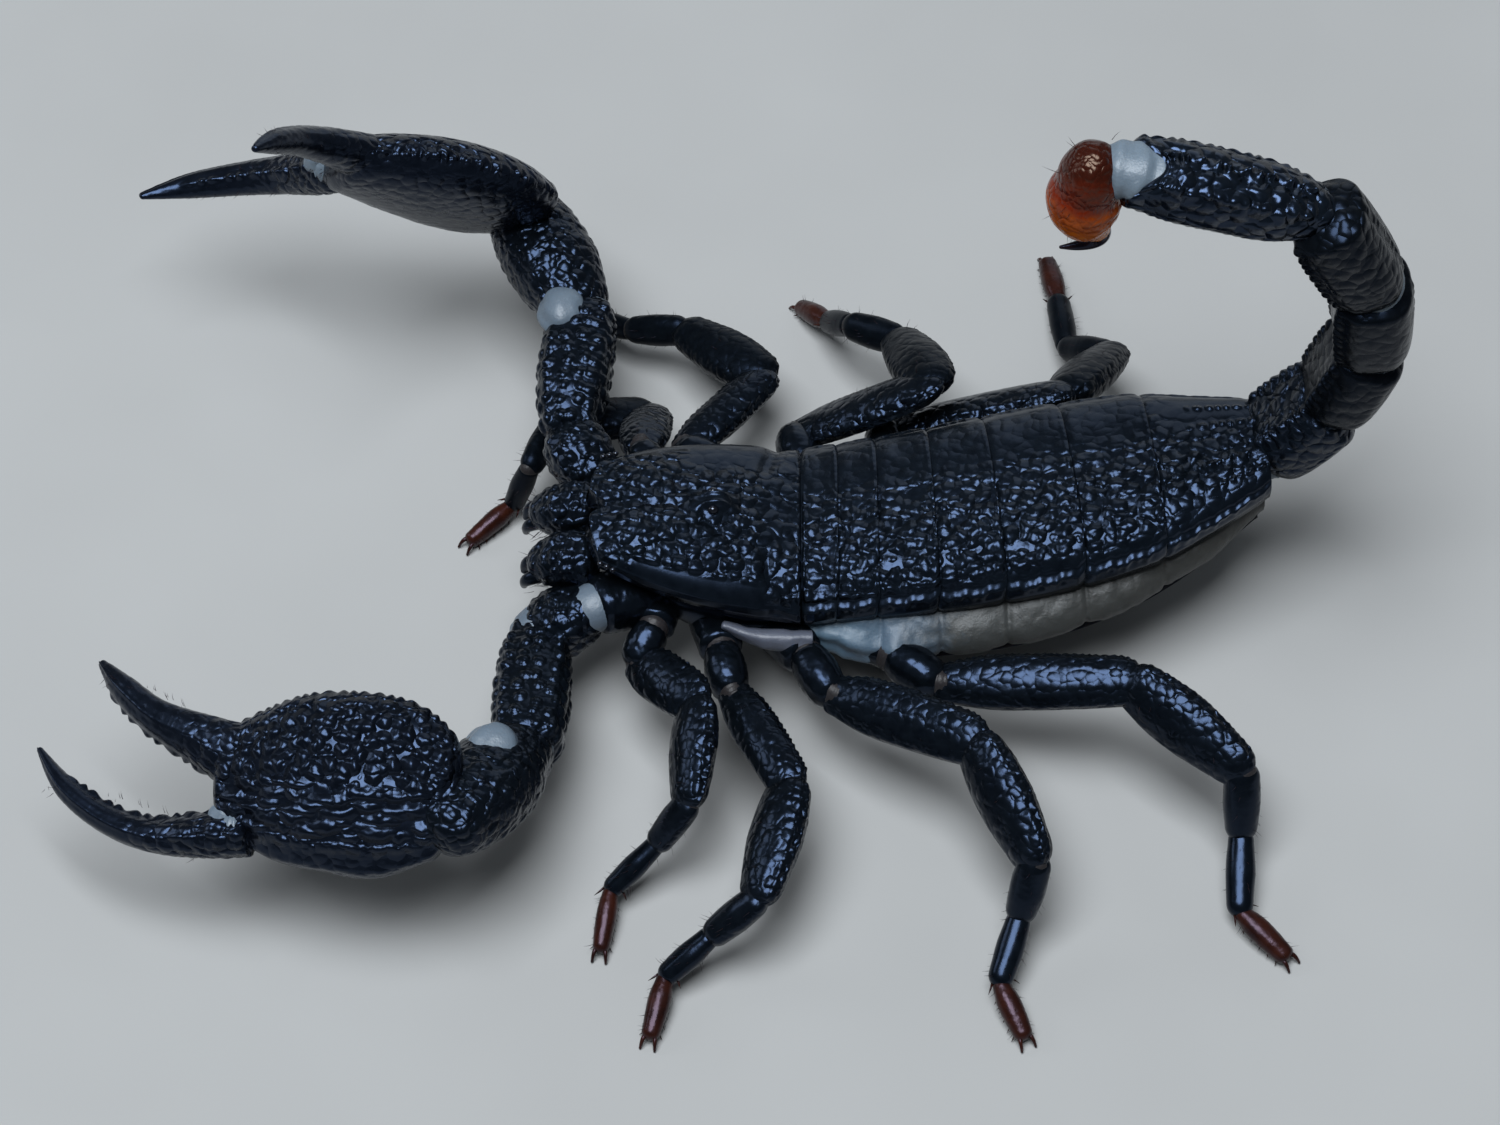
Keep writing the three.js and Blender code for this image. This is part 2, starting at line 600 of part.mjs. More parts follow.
for (const side of ['left', 'right']) {
  const sign = side === 'left' ? -1 : 1;
  const root = onForeBody(-carapaceLength + 1.2, sign * (jawHalfWidth + 0.2), 0);
  const from = new THREE.Vector3(root.x - 1.4, root.y, root.z - jawHalfHeight - 0.2);
  const to = new THREE.Vector3(root.x - 1.4 - jawLength, root.y + sign * 0.1, root.z - jawHalfHeight - 1.0);
  const jaw = sweep({
    curve: new THREE.LineCurve3(from, to),
    halfWidth: smoothly([jawHalfWidth * 0.9, jawHalfWidth, jawHalfWidth * 0.85, jawHalfWidth * 0.35]),
    halfHeight: smoothly([jawHalfHeight * 0.9, jawHalfHeight, jawHalfHeight * 0.85, jawHalfHeight * 0.4]),
    sides: 10, square: 2.4, stations: [0, 0.3, 0.6, 0.85, 1],
  });
  add(`chelicera_${side}`, jaw, materials.limb);

  add(`eye_${side}`, eyeBall(side, eyeRadius), materials.eye);
  add(`side_eyes_${side}`, sideEyes(side, sideEyeRadius), materials.eye);
  add(`pectine_${side}`, pectine(side), materials.pectine);

  buildArm(side);
  legs.forEach((leg, i) => buildLeg(side, i));
}

// back plates
const slantAt = (x) => plateSlant * THREE.MathUtils.smoothstep(x, 4, 22);
const trunkPlace = (x, y, z) => new THREE.Vector3(x - slantAt(x) * y, trunkSide(x) + y, trunkMargin(x) + z);
const plateWidth = through(backPlateEnds, backPlateHalfWidths);
const plateDome = through(backPlateEnds, backPlateDomes);
for (let i = 0; i < 7; i += 1) {
  const plate = domedPlate({
    fromX: backPlateEnds[i],
    toX: backPlateEnds[i + 1] - gap,
    halfWidth: plateWidth,
    dome: plateDome,
    place: trunkPlace,
  });
  add(`tergite_${i + 1}`, plate, materials.plate);
}

// the soft body under the back plates
function abdomen() {
  const wide = smoothly(skinHalfWidths);
  const deep = smoothly(skinDepths);
  const start = gap / trunkLength;
  const line = new THREE.LineCurve3(new THREE.Vector3(0, 0, 0), new THREE.Vector3(trunkLength, 0, 0));
  const stations = [start, 0.1, 0.22, 0.38, 0.54, 0.7, 0.86, 1 - start];
  const profile = [new THREE.Vector2(0, stations[0])];
  for (const t of stations) profile.push(new THREE.Vector2(1, t));
  profile.push(new THREE.Vector2(0, stations[stations.length - 1]));
  const body = new THREE.LatheGeometry(profile, 14);
  const places = body.attributes.position;
  for (let i = 0; i < places.count; i += 1) {
    const t = places.getY(i);
    const x = line.getPoint(t).x;
    const depth = deep(t);
    const y = places.getX(i) * wide(t);
    const z = -0.42 * depth + places.getZ(i) * 0.58 * depth;
    const at = trunkPlace(x, y, Math.min(z, -gap));
    places.setXYZ(i, at.x, at.y, at.z);
  }
  return solidFrom(body);
}
let soft = abdomen();
for (const side of ['left', 'right']) {
  [1, 2, 3].forEach((i) => {
    const [hip0, hip] = legJoints(legs[i], legPoses[side][i], side);
    soft = soft.subtract(coxaOf(legs[i], side, gap)).subtract(trochanterOf(legs[i], hip0, hip, gap));
  });
}
add('abdomen', soft, materials.skin);

// tail
const tailJoints = jointsAlong(point(tailBase), tailLengths, tailPose);
const tailSide = new THREE.Vector3(0, 1, 0);
const tailAims = tailPose.map((pose) => direction(...pose));
const tailUp = tailAims.map((aim) => new THREE.Vector3().crossVectors(aim, tailSide).normalize());
let tailSolids = tailAims.map((aim, i) => segment({
  from: tailJoints[i], to: tailJoints[i + 1], sides: 10, square: 2.8, up: tailUp[i], inner: [0.3, 0.7],
  widths: [tailHalfWidths[i] * 0.86, tailHalfWidths[i], tailHalfWidths[i] * 0.92],
  heights: [tailHalfHeights[i] * tailRootShares[i], tailHalfHeights[i],
    tailHalfHeights[i] * tailTipShares[i]],
}));
for (let i = 1; i < 5; i += 1) {
  const met = meetAt(tailSolids[i - 1], tailSolids[i], tailJoints[i], tailAims[i - 1], tailAims[i]);
  [tailSolids[i - 1], tailSolids[i]] = met;
}
const rump = trunkPlace(trunkLength, 0, 0);
tailSolids[0] = keepBeyond(tailSolids[0], rump, new THREE.Vector3(1, 0, 0));

const fromTailEnd = (xyz) => tailJoints[5].clone().add(point(xyz));
const bulbCurve = new THREE.CatmullRomCurve3(bulbPath.map(fromTailEnd));
const neck = sweep({
  curve: new THREE.LineCurve3(...neckPath.map(fromTailEnd)),
  halfWidth: smoothly(neckRadii), halfHeight: smoothly(neckRadii), sides: 10, stations: [0, 1],
});
let bulb = sweep({
  curve: bulbCurve, halfWidth: smoothly(bulbHalfWidths), halfHeight: smoothly(bulbHalfHeights),
  up: new THREE.Vector3(1, 0, 0), sides: 10, stations: [0, 0.14, 0.32, 0.5, 0.68, 0.85, 1],
}).add(neck);
let sting = sweep({
  curve: new THREE.CatmullRomCurve3(stingPath.map(fromTailEnd)),
  halfWidth: smoothly(stingRadii), halfHeight: smoothly(stingRadii),
  up: tailSide, sides: 7, stations: [0, 0.3, 0.5, 0.7, 1],
});
[tailSolids[4], bulb] = meetAt(tailSolids[4], bulb, tailJoints[5], tailAims[4], tailAims[4]);
const bulbEnd = bulbCurve.getPoint(1);
const bulbEndAim = bulbCurve.getTangent(1);
const stingRoot = bulbEnd.clone().addScaledVector(bulbEndAim, -0.3);
[bulb, sting] = meetAt(bulb, sting, stingRoot, bulbEndAim, bulbEndAim);
tailSolids.forEach((solid, i) => add(`metasoma_${i + 1}`, solid, materials.plate));
add('telson', bulb, materials.bulb);
add('sting', sting, materials.sting);

// stand the model on the floor, centred on its own footprint
const bounds = new THREE.Box3().setFromObject(scorpion);
const middle = bounds.getCenter(new THREE.Vector3());
scorpion.position.set(-middle.x, -middle.y, -bounds.min.z);

export default scorpion;
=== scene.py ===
import math
import random
from itertools import product
import bpy
import numpy as np
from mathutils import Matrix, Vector


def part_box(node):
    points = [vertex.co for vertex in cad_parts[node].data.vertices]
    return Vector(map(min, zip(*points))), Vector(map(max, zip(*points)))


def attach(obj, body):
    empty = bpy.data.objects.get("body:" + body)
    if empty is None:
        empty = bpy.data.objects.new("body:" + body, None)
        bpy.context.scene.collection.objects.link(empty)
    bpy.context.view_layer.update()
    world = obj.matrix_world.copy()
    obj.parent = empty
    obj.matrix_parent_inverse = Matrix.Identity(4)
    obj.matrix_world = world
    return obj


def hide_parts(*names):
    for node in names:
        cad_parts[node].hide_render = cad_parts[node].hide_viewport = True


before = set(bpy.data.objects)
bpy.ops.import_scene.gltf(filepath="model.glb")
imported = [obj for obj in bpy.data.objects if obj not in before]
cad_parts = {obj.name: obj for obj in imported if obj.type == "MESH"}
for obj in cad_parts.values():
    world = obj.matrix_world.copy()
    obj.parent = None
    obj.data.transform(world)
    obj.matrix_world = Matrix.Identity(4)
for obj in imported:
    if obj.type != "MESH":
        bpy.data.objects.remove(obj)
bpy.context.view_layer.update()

# lengths below are millimetres from the joint between carapace and first back plate,
# head toward -X, the animal's right side +Y, floor at zero
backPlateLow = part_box("tergite_1")[0]
carapaceLow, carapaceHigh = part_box("carapace")
sides = dict(left=-1, right=1)
zUp = [0, 0, 1]
modelOrigin = np.array([backPlateLow.x, (carapaceLow.y + carapaceHigh.y) / 2, 0.0])
random.seed(11)


# small maths
def unit(v):
    v = np.asarray(v, float)
    return v / np.maximum(np.linalg.norm(v, axis=-1, keepdims=True), 1e-9)


def headed(heading, pitch):
    h, p = math.radians(heading), math.radians(pitch)
    return np.array([math.cos(p) * math.cos(h), math.cos(p) * math.sin(h), math.sin(p)])


def jointsAlong(first, lengths, pose):
    joints = [np.array(first, float)]
    for length, (heading, pitch) in zip(lengths, pose):
        joints.append(joints[-1] + length * headed(heading, pitch))
    return joints


def mirrored(xyz, side):
    return np.array([xyz[0], sides[side] * xyz[1], xyz[2]], float)


def smoothThrough(values, t):  # a cubic through evenly spaced numbers or points
    values = np.asarray(values, float)
    place = np.clip(np.asarray(t, float), 0, 1) * (len(values) - 1)
    i = np.clip(np.floor(place).astype(int), 0, len(values) - 2)
    w = place - i
    if values.ndim == 2:
        w = w[..., None]
    p0, p1 = values[np.maximum(i - 1, 0)], values[i]
    p2, p3 = values[i + 1], values[np.minimum(i + 2, len(values) - 1)]
    v0, v1 = (p2 - p0) / 2, (p3 - p1) / 2
    return (2 * p1 - 2 * p2 + v0 + v1) * w**3 + (3 * p2 - 3 * p1 - 2 * v0 - v1) * w**2 + v0 * w + p1


def ease(low, high, x):
    t = np.clip((x - low) / (high - low), 0, 1)
    return t * t * (3 - 2 * t)


def bell(x, place, width, power=2):  # 1 at a place, fading on both sides
    return np.exp(-((x - place) / width)**power)


def scatter(cell, seed):  # the same random number for the same cell every time
    n = np.sin(cell[..., 0] * 127.1 + cell[..., 1] * 311.7 + cell[..., 2] * 74.7 + seed * 19.19) * 43758.5453
    return n - np.floor(n)


def grains(points, size, seed=1, fullness=0.62):  # rounded granules, one to each cell of space
    p = points / size
    height = np.zeros(points.shape[:-1])
    for step in product((-1, 0, 1), repeat=3):
        cell = np.floor(p) + step
        r = [scatter(cell, seed + k) for k in (0, 1.7, 3.1, 5.3)]
        away = sum((p[..., i] - cell[..., i] - 0.15 - 0.7 * r[i])**2 for i in range(3))
        reach = fullness * (0.75 + 0.5 * r[3])
        height = np.maximum(height, (0.6 + 0.4 * r[3]) * np.clip(1 - away / reach**2, 0, 1)**0.8)
    return height


def pebbles(u, v, size, seed=1, fullness=0.55):  # rounded granules on a flat pattern of cells
    p = np.stack([u, v, 0 * v], -1) / size
    height = np.zeros(v.shape)
    for step in product((-1, 0, 1), repeat=2):
        cell = np.floor(p) + (*step, 0)
        r = [scatter(cell, seed + k) for k in (0, 1.7, 3.1)]
        away = sum((p[..., i] - cell[..., i] - 0.2 - 0.6 * r[i])**2 for i in range(2))
        reach = fullness * (0.8 + 0.4 * r[2])
        height = np.maximum(height, (0.55 + 0.45 * r[2]) * np.clip(1 - away / reach**2, 0, 1)**0.7)
    return height


def waver(points, size, seed=1):  # smooth random waves between -1 and 1
    p = points / size
    f = p - np.floor(p)
    f = f * f * (3 - 2 * f)
    total = np.zeros(points.shape[:-1])
    for step in product((0, 1), repeat=3):
        total += np.prod(np.where(step, f, 1 - f), -1) * scatter(np.floor(p) + step, seed)
    return total * 2 - 1


def girth(grid):  # distance round each ring from its top, negative on the other side
    steps = np.linalg.norm(grid - np.roll(grid, 1, 1), axis=-1)
    steps[:, 0] = 0
    travelled = np.cumsum(steps, 1)
    total = travelled[:, -1:] + np.linalg.norm(grid[:, -1] - grid[:, 0], axis=-1)[:, None]
    return np.where(np.arange(grid.shape[1]) <= grid.shape[1] // 2, travelled, travelled - total)


def crest(angle, place, width):  # a rounded ridge at one angle round a limb
    away = np.angle(np.exp(1j * (angle - math.radians(place))))
    return bell(away, 0, math.radians(width))


def teeth(along, pitch, seed=0.0):  # a row of blunt teeth
    shifted = along / pitch + 0.18 * np.sin(along * 1.7 + seed) + seed
    return np.abs(np.cos(np.pi * shifted))**1.4


# meshes
def makePiece(name, part, finish, stands=()):
    points, faces = np.array(part[0], float).reshape(-1, 3), part[1]
    points[:, 2] = np.maximum(points[:, 2], 0)  # soles and bristles end flat on the floor
    mesh = bpy.data.meshes.new(name)
    mesh.from_pydata((modelOrigin + points * 0.001).tolist(), [], faces)
    mesh.polygons.foreach_set("use_smooth", [True] * len(mesh.polygons))
    mesh.materials.append(finish)
    for label, values in (part[2] if len(part) > 2 else {}).items():
        mesh.attributes.new(label, "FLOAT", "POINT").data.foreach_set("value", np.ravel(values).astype(np.float32))
    piece = bpy.data.objects.new(name, mesh)
    bpy.context.scene.collection.objects.link(piece)
    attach(piece, "root")
    if stands:
        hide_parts(*stands)
    return piece


bristleCounts = dict(claw=60, jaw=70, bulb=60)


def makeBristles(name, hairs):
    makePiece(name, joined(hairs), bristleFinish)


def makeSkin(name, parts, finish):
    makePiece(name, joined(parts), finish)


def joined(parts):
    points, faces, marks, count = [], [], {}, 0
    labels = {label for part in parts if len(part) > 2 for label in part[2]}
    for part in parts:
        partPoints = np.asarray(part[0]).reshape(-1, 3)
        points.append(partPoints)
        faces += [[i + count for i in face] for face in part[1]] if count else list(part[1])
        for label in labels:
            values = part[2].get(label) if len(part) > 2 else None
            marks.setdefault(label, []).append(np.zeros(len(partPoints)) if values is None else np.ravel(values))
        count += len(partPoints)
    return np.concatenate(points), faces, {label: np.concatenate(rows) for label, rows in marks.items()}


def ringFaces(rings, around):
    i = np.arange(rings - 1)[:, None] * around
    j = np.arange(around)[None, :]
    k = (j + 1) % around
    quads = np.stack([i + j, i + around + j, i + around + k, i + k], -1).reshape(-1, 4).tolist()
    first = list(range(around))
    last = [(rings - 1) * around + n for n in range(around - 1, -1, -1)]
    return quads + [first, last]


def sweep(spine, halfWidth, halfHeight, up, around, square=2.0):
    along = unit(np.gradient(spine, axis=0))
    sideways = unit(np.cross(np.broadcast_to(up, along.shape), along))
    top = np.cross(along, sideways)
    angle = np.arange(around) * 2 * math.pi / around
    c, s = np.cos(angle), np.sin(angle)
    swell = (np.abs(c)**square + np.abs(s)**square)**(-1 / square)
    ring = sideways[:, None, :] * ((s * swell)[None, :] * halfWidth[:, None])[..., None]
    ring = ring + top[:, None, :] * ((c * swell)[None, :] * halfHeight[:, None])[..., None]
    return spine[:, None, :] + ring, angle


def outward(grid):
    along = np.gradient(grid, axis=0)
    roundabout = np.roll(grid, -1, 1) - np.roll(grid, 1, 1)
    return unit(np.cross(along, roundabout))


def endSpacing(count):  # closer together near both ends
    u = np.linspace(0, 1, count)
    return 0.55 * u + 0.45 * (0.5 - 0.5 * np.cos(math.pi * u))


def marked(marks, grid, s, angle):
    if marks is None:
        return {}
    return {label: np.broadcast_to(value, grid.shape[:2]) for label, value in marks(grid, s, angle).items()}


def limbPart(start, end, widths, heights, up, rings=70, around=56, square=2.2, relief=None, over=(0.5, 0.5),
             marks=None):
    start, end = np.asarray(start, float), np.asarray(end, float)
    length = np.linalg.norm(end - start)
    past = min(over[0] * heights[0], 0.2 * length) / length
    beyond = min(over[1] * heights[-1], 0.2 * length) / length
    t = endSpacing(rings) * (1 + past + beyond) - past
    roundOff = np.ones_like(t)
    roundOff = np.where(t < past, np.sqrt(np.clip(1 - ((past - t) / (2 * past))**2, 0.0004, 1)), roundOff)
    far = t - (1 - beyond)
    roundOff = np.where(far > 0, np.sqrt(np.clip(1 - (far / (2 * beyond))**2, 0.0004, 1)), roundOff)
    spine = start + t[:, None] * (end - start)
    grid, angle = sweep(
        spine, smoothThrough(widths, t) * roundOff, smoothThrough(heights, t) * roundOff, up, around, square)
    if relief is not None:
        fade = np.clip(roundOff * 1.6 - 0.6, 0, 1)[:, None]
        grid = grid + outward(grid) * (relief(grid, t[:, None] * length, angle[None, :]) * fade)[..., None]
    return grid.reshape(-1, 3), ringFaces(rings, around), marked(marks, grid, t[:, None] * length, angle[None, :])


def curvedPart(knots, widths, heights, up, rings=80, around=56, square=2.0, relief=None, marks=None,
               ends=(0.04, 0.02)):
    t = endSpacing(rings)
    spine = smoothThrough(knots, t)
    roundOff = np.sqrt(np.clip(1 - np.clip(1 - t / ends[0], 0, 1)**2, 0.002, 1))
    roundOff = roundOff * np.sqrt(np.clip(1 - np.clip(1 - (1 - t) / ends[1], 0, 1)**2, 0.002, 1))
    grid, angle = sweep(
        spine, smoothThrough(widths, t) * roundOff, smoothThrough(heights, t) * roundOff, up, around, square)
    travelled = np.concatenate([[0], np.cumsum(np.linalg.norm(np.diff(spine, axis=0), axis=1))])[:, None]
    if relief is not None:
        fade = np.clip(roundOff * 1.4 - 0.4, 0, 1)[:, None]
        grid = grid + outward(grid) * (relief(grid, travelled, angle[None, :]) * fade)[..., None]
    return grid.reshape(-1, 3), ringFaces(rings, around), marked(marks, grid, travelled, angle[None, :])


def jointSkinPart(before, joint, after, halfWidth, halfHeight, up, length=0.9):
    into, out = unit(joint - before), unit(after - joint)
    reach = length * halfHeight
    knots = [joint - into * reach, joint - into * reach * 0.3, joint + out * reach * 0.3, joint + out * reach]
    folds = lambda grid, s, a: 0.05 * np.sin(s * 14) + 0.04 * waver(grid, 0.7, 4)
    return curvedPart(
        knots, [halfWidth * 0.8, halfWidth, halfWidth, halfWidth * 0.8],
        [halfHeight * 0.8, halfHeight, halfHeight, halfHeight * 0.8], up, 26, 36, 2.0, folds)


def bristlePart(root, heading, length, radius=0.035, bend=0.25):
    root, heading = np.asarray(root, float), unit(heading)
    sideways = unit(np.cross(heading, [0.31, 0.57, 0.76]))
    other = np.cross(heading, sideways)
    rows = []
    for t, size in ((0, 1.0), (0.5, 0.72), (1, 0.12)):
        middle = root + heading * length * t + sideways * length * bend * t * t
        for k in range(3):
            a = k * 2 * math.pi / 3
            rows.append(middle + radius * size * (math.cos(a) * sideways + math.sin(a) * other))
    return np.array(rows), ringFaces(3, 3)


# finishes
def setInputs(tree, node, inputs):  # each input takes a number, a colour or another node's output
    for label, value in inputs.items():
        if isinstance(value, bpy.types.NodeSocket):
            tree.links.new(value, node.inputs[label])
        else:
            node.inputs[label].default_value = value


def addNode(tree, kind, output, inputs, **settings):
    node = tree.nodes.new("ShaderNode" + kind)
    for label, value in settings.items():
        setattr(node, label, value)
    setInputs(tree, node, inputs)
    return node.outputs[output]


def newFinish(name):
    finish = bpy.data.materials.new(name)
    finish.use_nodes = True
    return finish, finish.node_tree, addNode(finish.node_tree, "TexCoord", "Object", {})


def addNoise(tree, place, perMillimetre, detail=3.0, roughness=0.55):
    return addNode(tree, "TexNoise", "Fac", {
        "Scale": perMillimetre * 1000, "Detail": detail, "Roughness": roughness, "Vector": place})


def addCells(tree, place, perMillimetre):
    return addNode(tree, "TexVoronoi", "Distance", {
        "Scale": perMillimetre * 1000, "Vector": place}, feature="SMOOTH_F1")


def addRamp(tree, source, stops):
    ramp = addNode(tree, "ValToRGB", "Color", {"Fac": source})
    elements = ramp.node.color_ramp.elements
    while len(elements) < len(stops):
        elements.new(0.5)
    for element, (position, colour) in zip(elements, stops):
        element.position = position
        element.color = (*colour, 1)
    return ramp


def addBump(tree, height, millimetres, strength=1.0, under=None):
    inputs = {"Distance": millimetres * 0.001, "Strength": strength, "Height": height}
    if under is not None:
        inputs["Normal"] = under
    return addNode(tree, "Bump", "Normal", inputs)


def addTimes(tree, first, second):
    return addNode(tree, "Math", "Value", {0: first, 1: second}, operation="MULTIPLY")


def addDomes(tree, place, perMillimetre, stretch=(1, 1, 1), reach=0.74):  # packed rounded granules
    bend = addNode(tree, "TexNoise", "Color", {"Scale": 650, "Detail": 1, "Vector": place})
    # the noise pushes the granules out of true rows
    bent = addNode(tree, "VectorMath", "Vector", {
        0: bend, 1: (0.001, 0.001, 0.001), 2: place}, operation="MULTIPLY_ADD")
    turned = addNode(tree, "Mapping", "Vector", {"Scale": stretch, "Vector": bent})
    away = addNode(tree, "TexVoronoi", "Distance", {
        "Scale": perMillimetre * 1000, "Randomness": 0.85, "Vector": turned})
    return addNode(tree, "MapRange", "Result", {
        "From Max": reach * reach, "To Min": 1, "To Max": 0, "Value": addTimes(tree, away, away)})


def addMarkedDomes(tree, place, perMillimetre, label, stretch=(1, 1, 1)):  # only where the sculpted piece says so
    mark = addNode(tree, "Attribute", "Fac", {}, attribute_name=label)
    return addTimes(tree, addDomes(tree, place, perMillimetre, stretch), mark)


def makeShellFinish(name, dark, light, roughness, grain=0.95, depth=0.30, fine=0.006, spots=0.9, shine={}):
    finish, tree, place = newFinish(name)
    normal = addBump(tree, addNoise(tree, place, 3.6, 3, 0.6), fine * 2, 0.7)
    normal = addBump(tree, addCells(tree, place, 4.5), fine, 0.8, normal)
    if depth:
        normal = addBump(tree, addMarkedDomes(tree, place, grain, "grit"), depth, 1.0, normal)
        ridges = addMarkedDomes(tree, place, grain * 1.05, "ridge", (0.42, 1, 1))
        normal = addBump(tree, ridges, depth * 1.1, 1.0, normal)
    gloss = addNode(tree, "MapRange", "Result", {
        "To Min": roughness - 0.08, "To Max": roughness + 0.12, "Value": addNoise(tree, place, 0.5, 3)})
    # the bluish Specular Tint on every shell finish is painted reflection of a blue sky
    setInputs(tree, tree.nodes["Principled BSDF"], {
        "Base Color": addRamp(tree, addNoise(tree, place, spots, 4), [(0.3, dark), (0.75, light)]),
        "Roughness": gloss, "Normal": normal, "IOR": 1.36, "Specular Tint": (0.40, 0.58, 1.0, 1), **shine})
    return finish


def addBlend(tree, place, axis, low, high, patches, amount):  # 0 to 1 along an axis, made patchy
    along = addNode(tree, "SeparateXYZ", axis, {"Vector": place})
    spread = addNode(tree, "MapRange", "Result", {"From Min": low, "From Max": high, "Value": along})
    return addNode(tree, "Math", "Value", {0: patches, 1: amount, 2: spread}, operation="MULTIPLY_ADD")


def makeSkinFinish(name, stops, low, high, axis="X", roughness=0.5, shine={}):
    finish, tree, place = newFinish(name)
    blend = addBlend(tree, place, axis, low, high, addNoise(tree, place, 0.55, 5), 0.22)
    wrinkles = addBump(tree, addNoise(tree, place, 2.4, 4, 0.65), 0.12, 0.5)
    setInputs(tree, tree.nodes["Principled BSDF"], {
        "Base Color": addRamp(tree, blend, stops), "Roughness": roughness,
        "Normal": addBump(tree, addCells(tree, place, 5.0), 0.03, 0.5, wrinkles),
        "Subsurface Weight": 0.15, "Subsurface Radius": (0.0012, 0.0008, 0.0006), **shine})
    return finish


plateColours = (0.0012, 0.0018, 0.0026), (0.003, 0.0045, 0.0065)
limbColours = (0.001, 0.0015, 0.0022), (0.0025, 0.0036, 0.005)
plateFinish = makeShellFinish("plate shell", *plateColours, 0.22, 0.78, 0.42, 0.003, shine={"IOR": 1.40})
limbFinish = makeShellFinish("limb shell", *limbColours, 0.20, 0.95, 0.30, 0.004)
clawFinish = makeShellFinish(
    "claw shell", (0.0012, 0.0017, 0.0028), (0.003, 0.004, 0.0065), 0.23, 0.80, 0.55, 0.003, shine={"IOR": 1.41})
# the feet's violet Specular Tint is painted reflection of a blue sky on red-brown shell
footFinish = makeShellFinish(
    "foot shell", (0.006, 0.002, 0.0014), (0.030, 0.008, 0.004), 0.26, 2.0, 0.06, 0.01, 0.35,
    {"Specular Tint": (0.72, 0.55, 0.72, 1)})
bellyFinish = makeShellFinish("belly plate shell", (0.008, 0.006, 0.005), (0.025, 0.018, 0.013), 0.36, 2.0, 0)
combFinish = makeShellFinish("comb shell", (0.10, 0.06, 0.035), (0.26, 0.18, 0.11), 0.42, 2.0, 0)
stingFinish = makeShellFinish("sting horn", (0.006, 0.0022, 0.0015), (0.016, 0.005, 0.003), 0.18, 2.0, 0)
# a copy of the plate shell with stronger reflection for the last tail segment: painted highlight; its larger,
# deeper granules are relief
highlightTailFinish = makeShellFinish("tail end painted highlight shell", *plateColours, 0.20, 0.62, 0.52, 0.003, shine={"IOR": 1.5})
# a darker copy of the shell with weaker reflection for tail segments II to IV: painted shade
shadedTailFinish = makeShellFinish(
    "painted shade tail shell", (0.001, 0.0014, 0.0018), (0.0025, 0.0032, 0.004), 0.26, 0.80, 0.40, 0.003,
    shine={"Specular IOR Level": 0.28})
# a copy of the limb shell with weaker reflection: painted shade for the right legs on the far side
shadedLimbFinish = makeShellFinish("painted shade limb shell", *limbColours, 0.30, 0.95, 0.26, 0.004,
                                 shine={"IOR": 1.24, "Specular IOR Level": 0.35})
bristleFinish = makeShellFinish("bristles", (0.008, 0.003, 0.002), (0.024, 0.010, 0.006), 0.4, 2.0, 0, 0)
eyeFinish = makeShellFinish("eye lens", (0.003, 0.003, 0.004), (0.006, 0.006, 0.008), 0.10, 2.0, 0, 0,
                            shine={"Coat Weight": 0.6})
sideSkinFinish = makeSkinFinish("side skin", [
    (0.05, (0.072, 0.122, 0.165)), (0.30, (0.053, 0.082, 0.116)), (0.46, (0.030, 0.032, 0.031)),
    (1.1, (0.021, 0.021, 0.019))], modelOrigin[0], modelOrigin[0] + 0.045)
jointSkinFinish = makeSkinFinish("joint skin", [
    (0.1, (0.05, 0.068, 0.095)), (0.6, (0.10, 0.13, 0.16))], 0, 0.05, "Z", 0.42)
foldSkinFinish = makeSkinFinish("fold skin", [
    (0.1, (0.030, 0.034, 0.048)), (0.7, (0.065, 0.072, 0.095))], 0, 0.02, "Z", 0.42)
legSkinFinish = makeSkinFinish("leg joint skin", [
    (0.1, (0.006, 0.005, 0.005)), (0.7, (0.016, 0.014, 0.015))], 0, 0.02, "Z", 0.45, {"Specular IOR Level": 0.25})
bulbFinish, tree, place = newFinish("bulb shell")
bulbLow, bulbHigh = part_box("telson")
blend = addBlend(tree, place, "Z", bulbLow.z, bulbHigh.z, addNoise(tree, place, 0.5, 4), 0.25)
setInputs(tree, tree.nodes["Principled BSDF"], {
    "Base Color": addRamp(tree, blend, [
        (0.15, (0.52, 0.135, 0.001)), (0.45, (0.33, 0.062, 0.001)), (0.68, (0.105, 0.010, 0.002)),
        (1.0, (0.024, 0.004, 0.002))]),
    "Normal": addBump(tree, addDomes(tree, place, 1.3), 0.12, 0.8), "Roughness": 0.22, "IOR": 1.36,
    "Specular Tint": (1.0, 0.74, 0.56, 1), "Subsurface Weight": 0.12, "Subsurface Radius": (0.003, 0.0012, 0.0005)})
print("finishes made")

# camera, floor and light
viewSettings = dict(elevation=55.0, distance=0.400, lens=93.8, aim=(-5.0, 6.3, 0.0))
aim = Vector(modelOrigin + np.array(viewSettings["aim"]) * 0.001)
rise = math.radians(viewSettings["elevation"])
camera = bpy.data.objects.new("camera", bpy.data.cameras.new("camera"))
bpy.context.scene.collection.objects.link(camera)
camera.data.lens = viewSettings["lens"]
camera.data.sensor_width = 36
camera.data.clip_start = 0.01
camera.data.clip_end = 20
camera.location = aim + Vector((0, -math.cos(rise), math.sin(rise))) * viewSettings["distance"]
camera.rotation_euler = (math.pi / 2 - rise, 0, 0)
bpy.context.scene.camera = camera

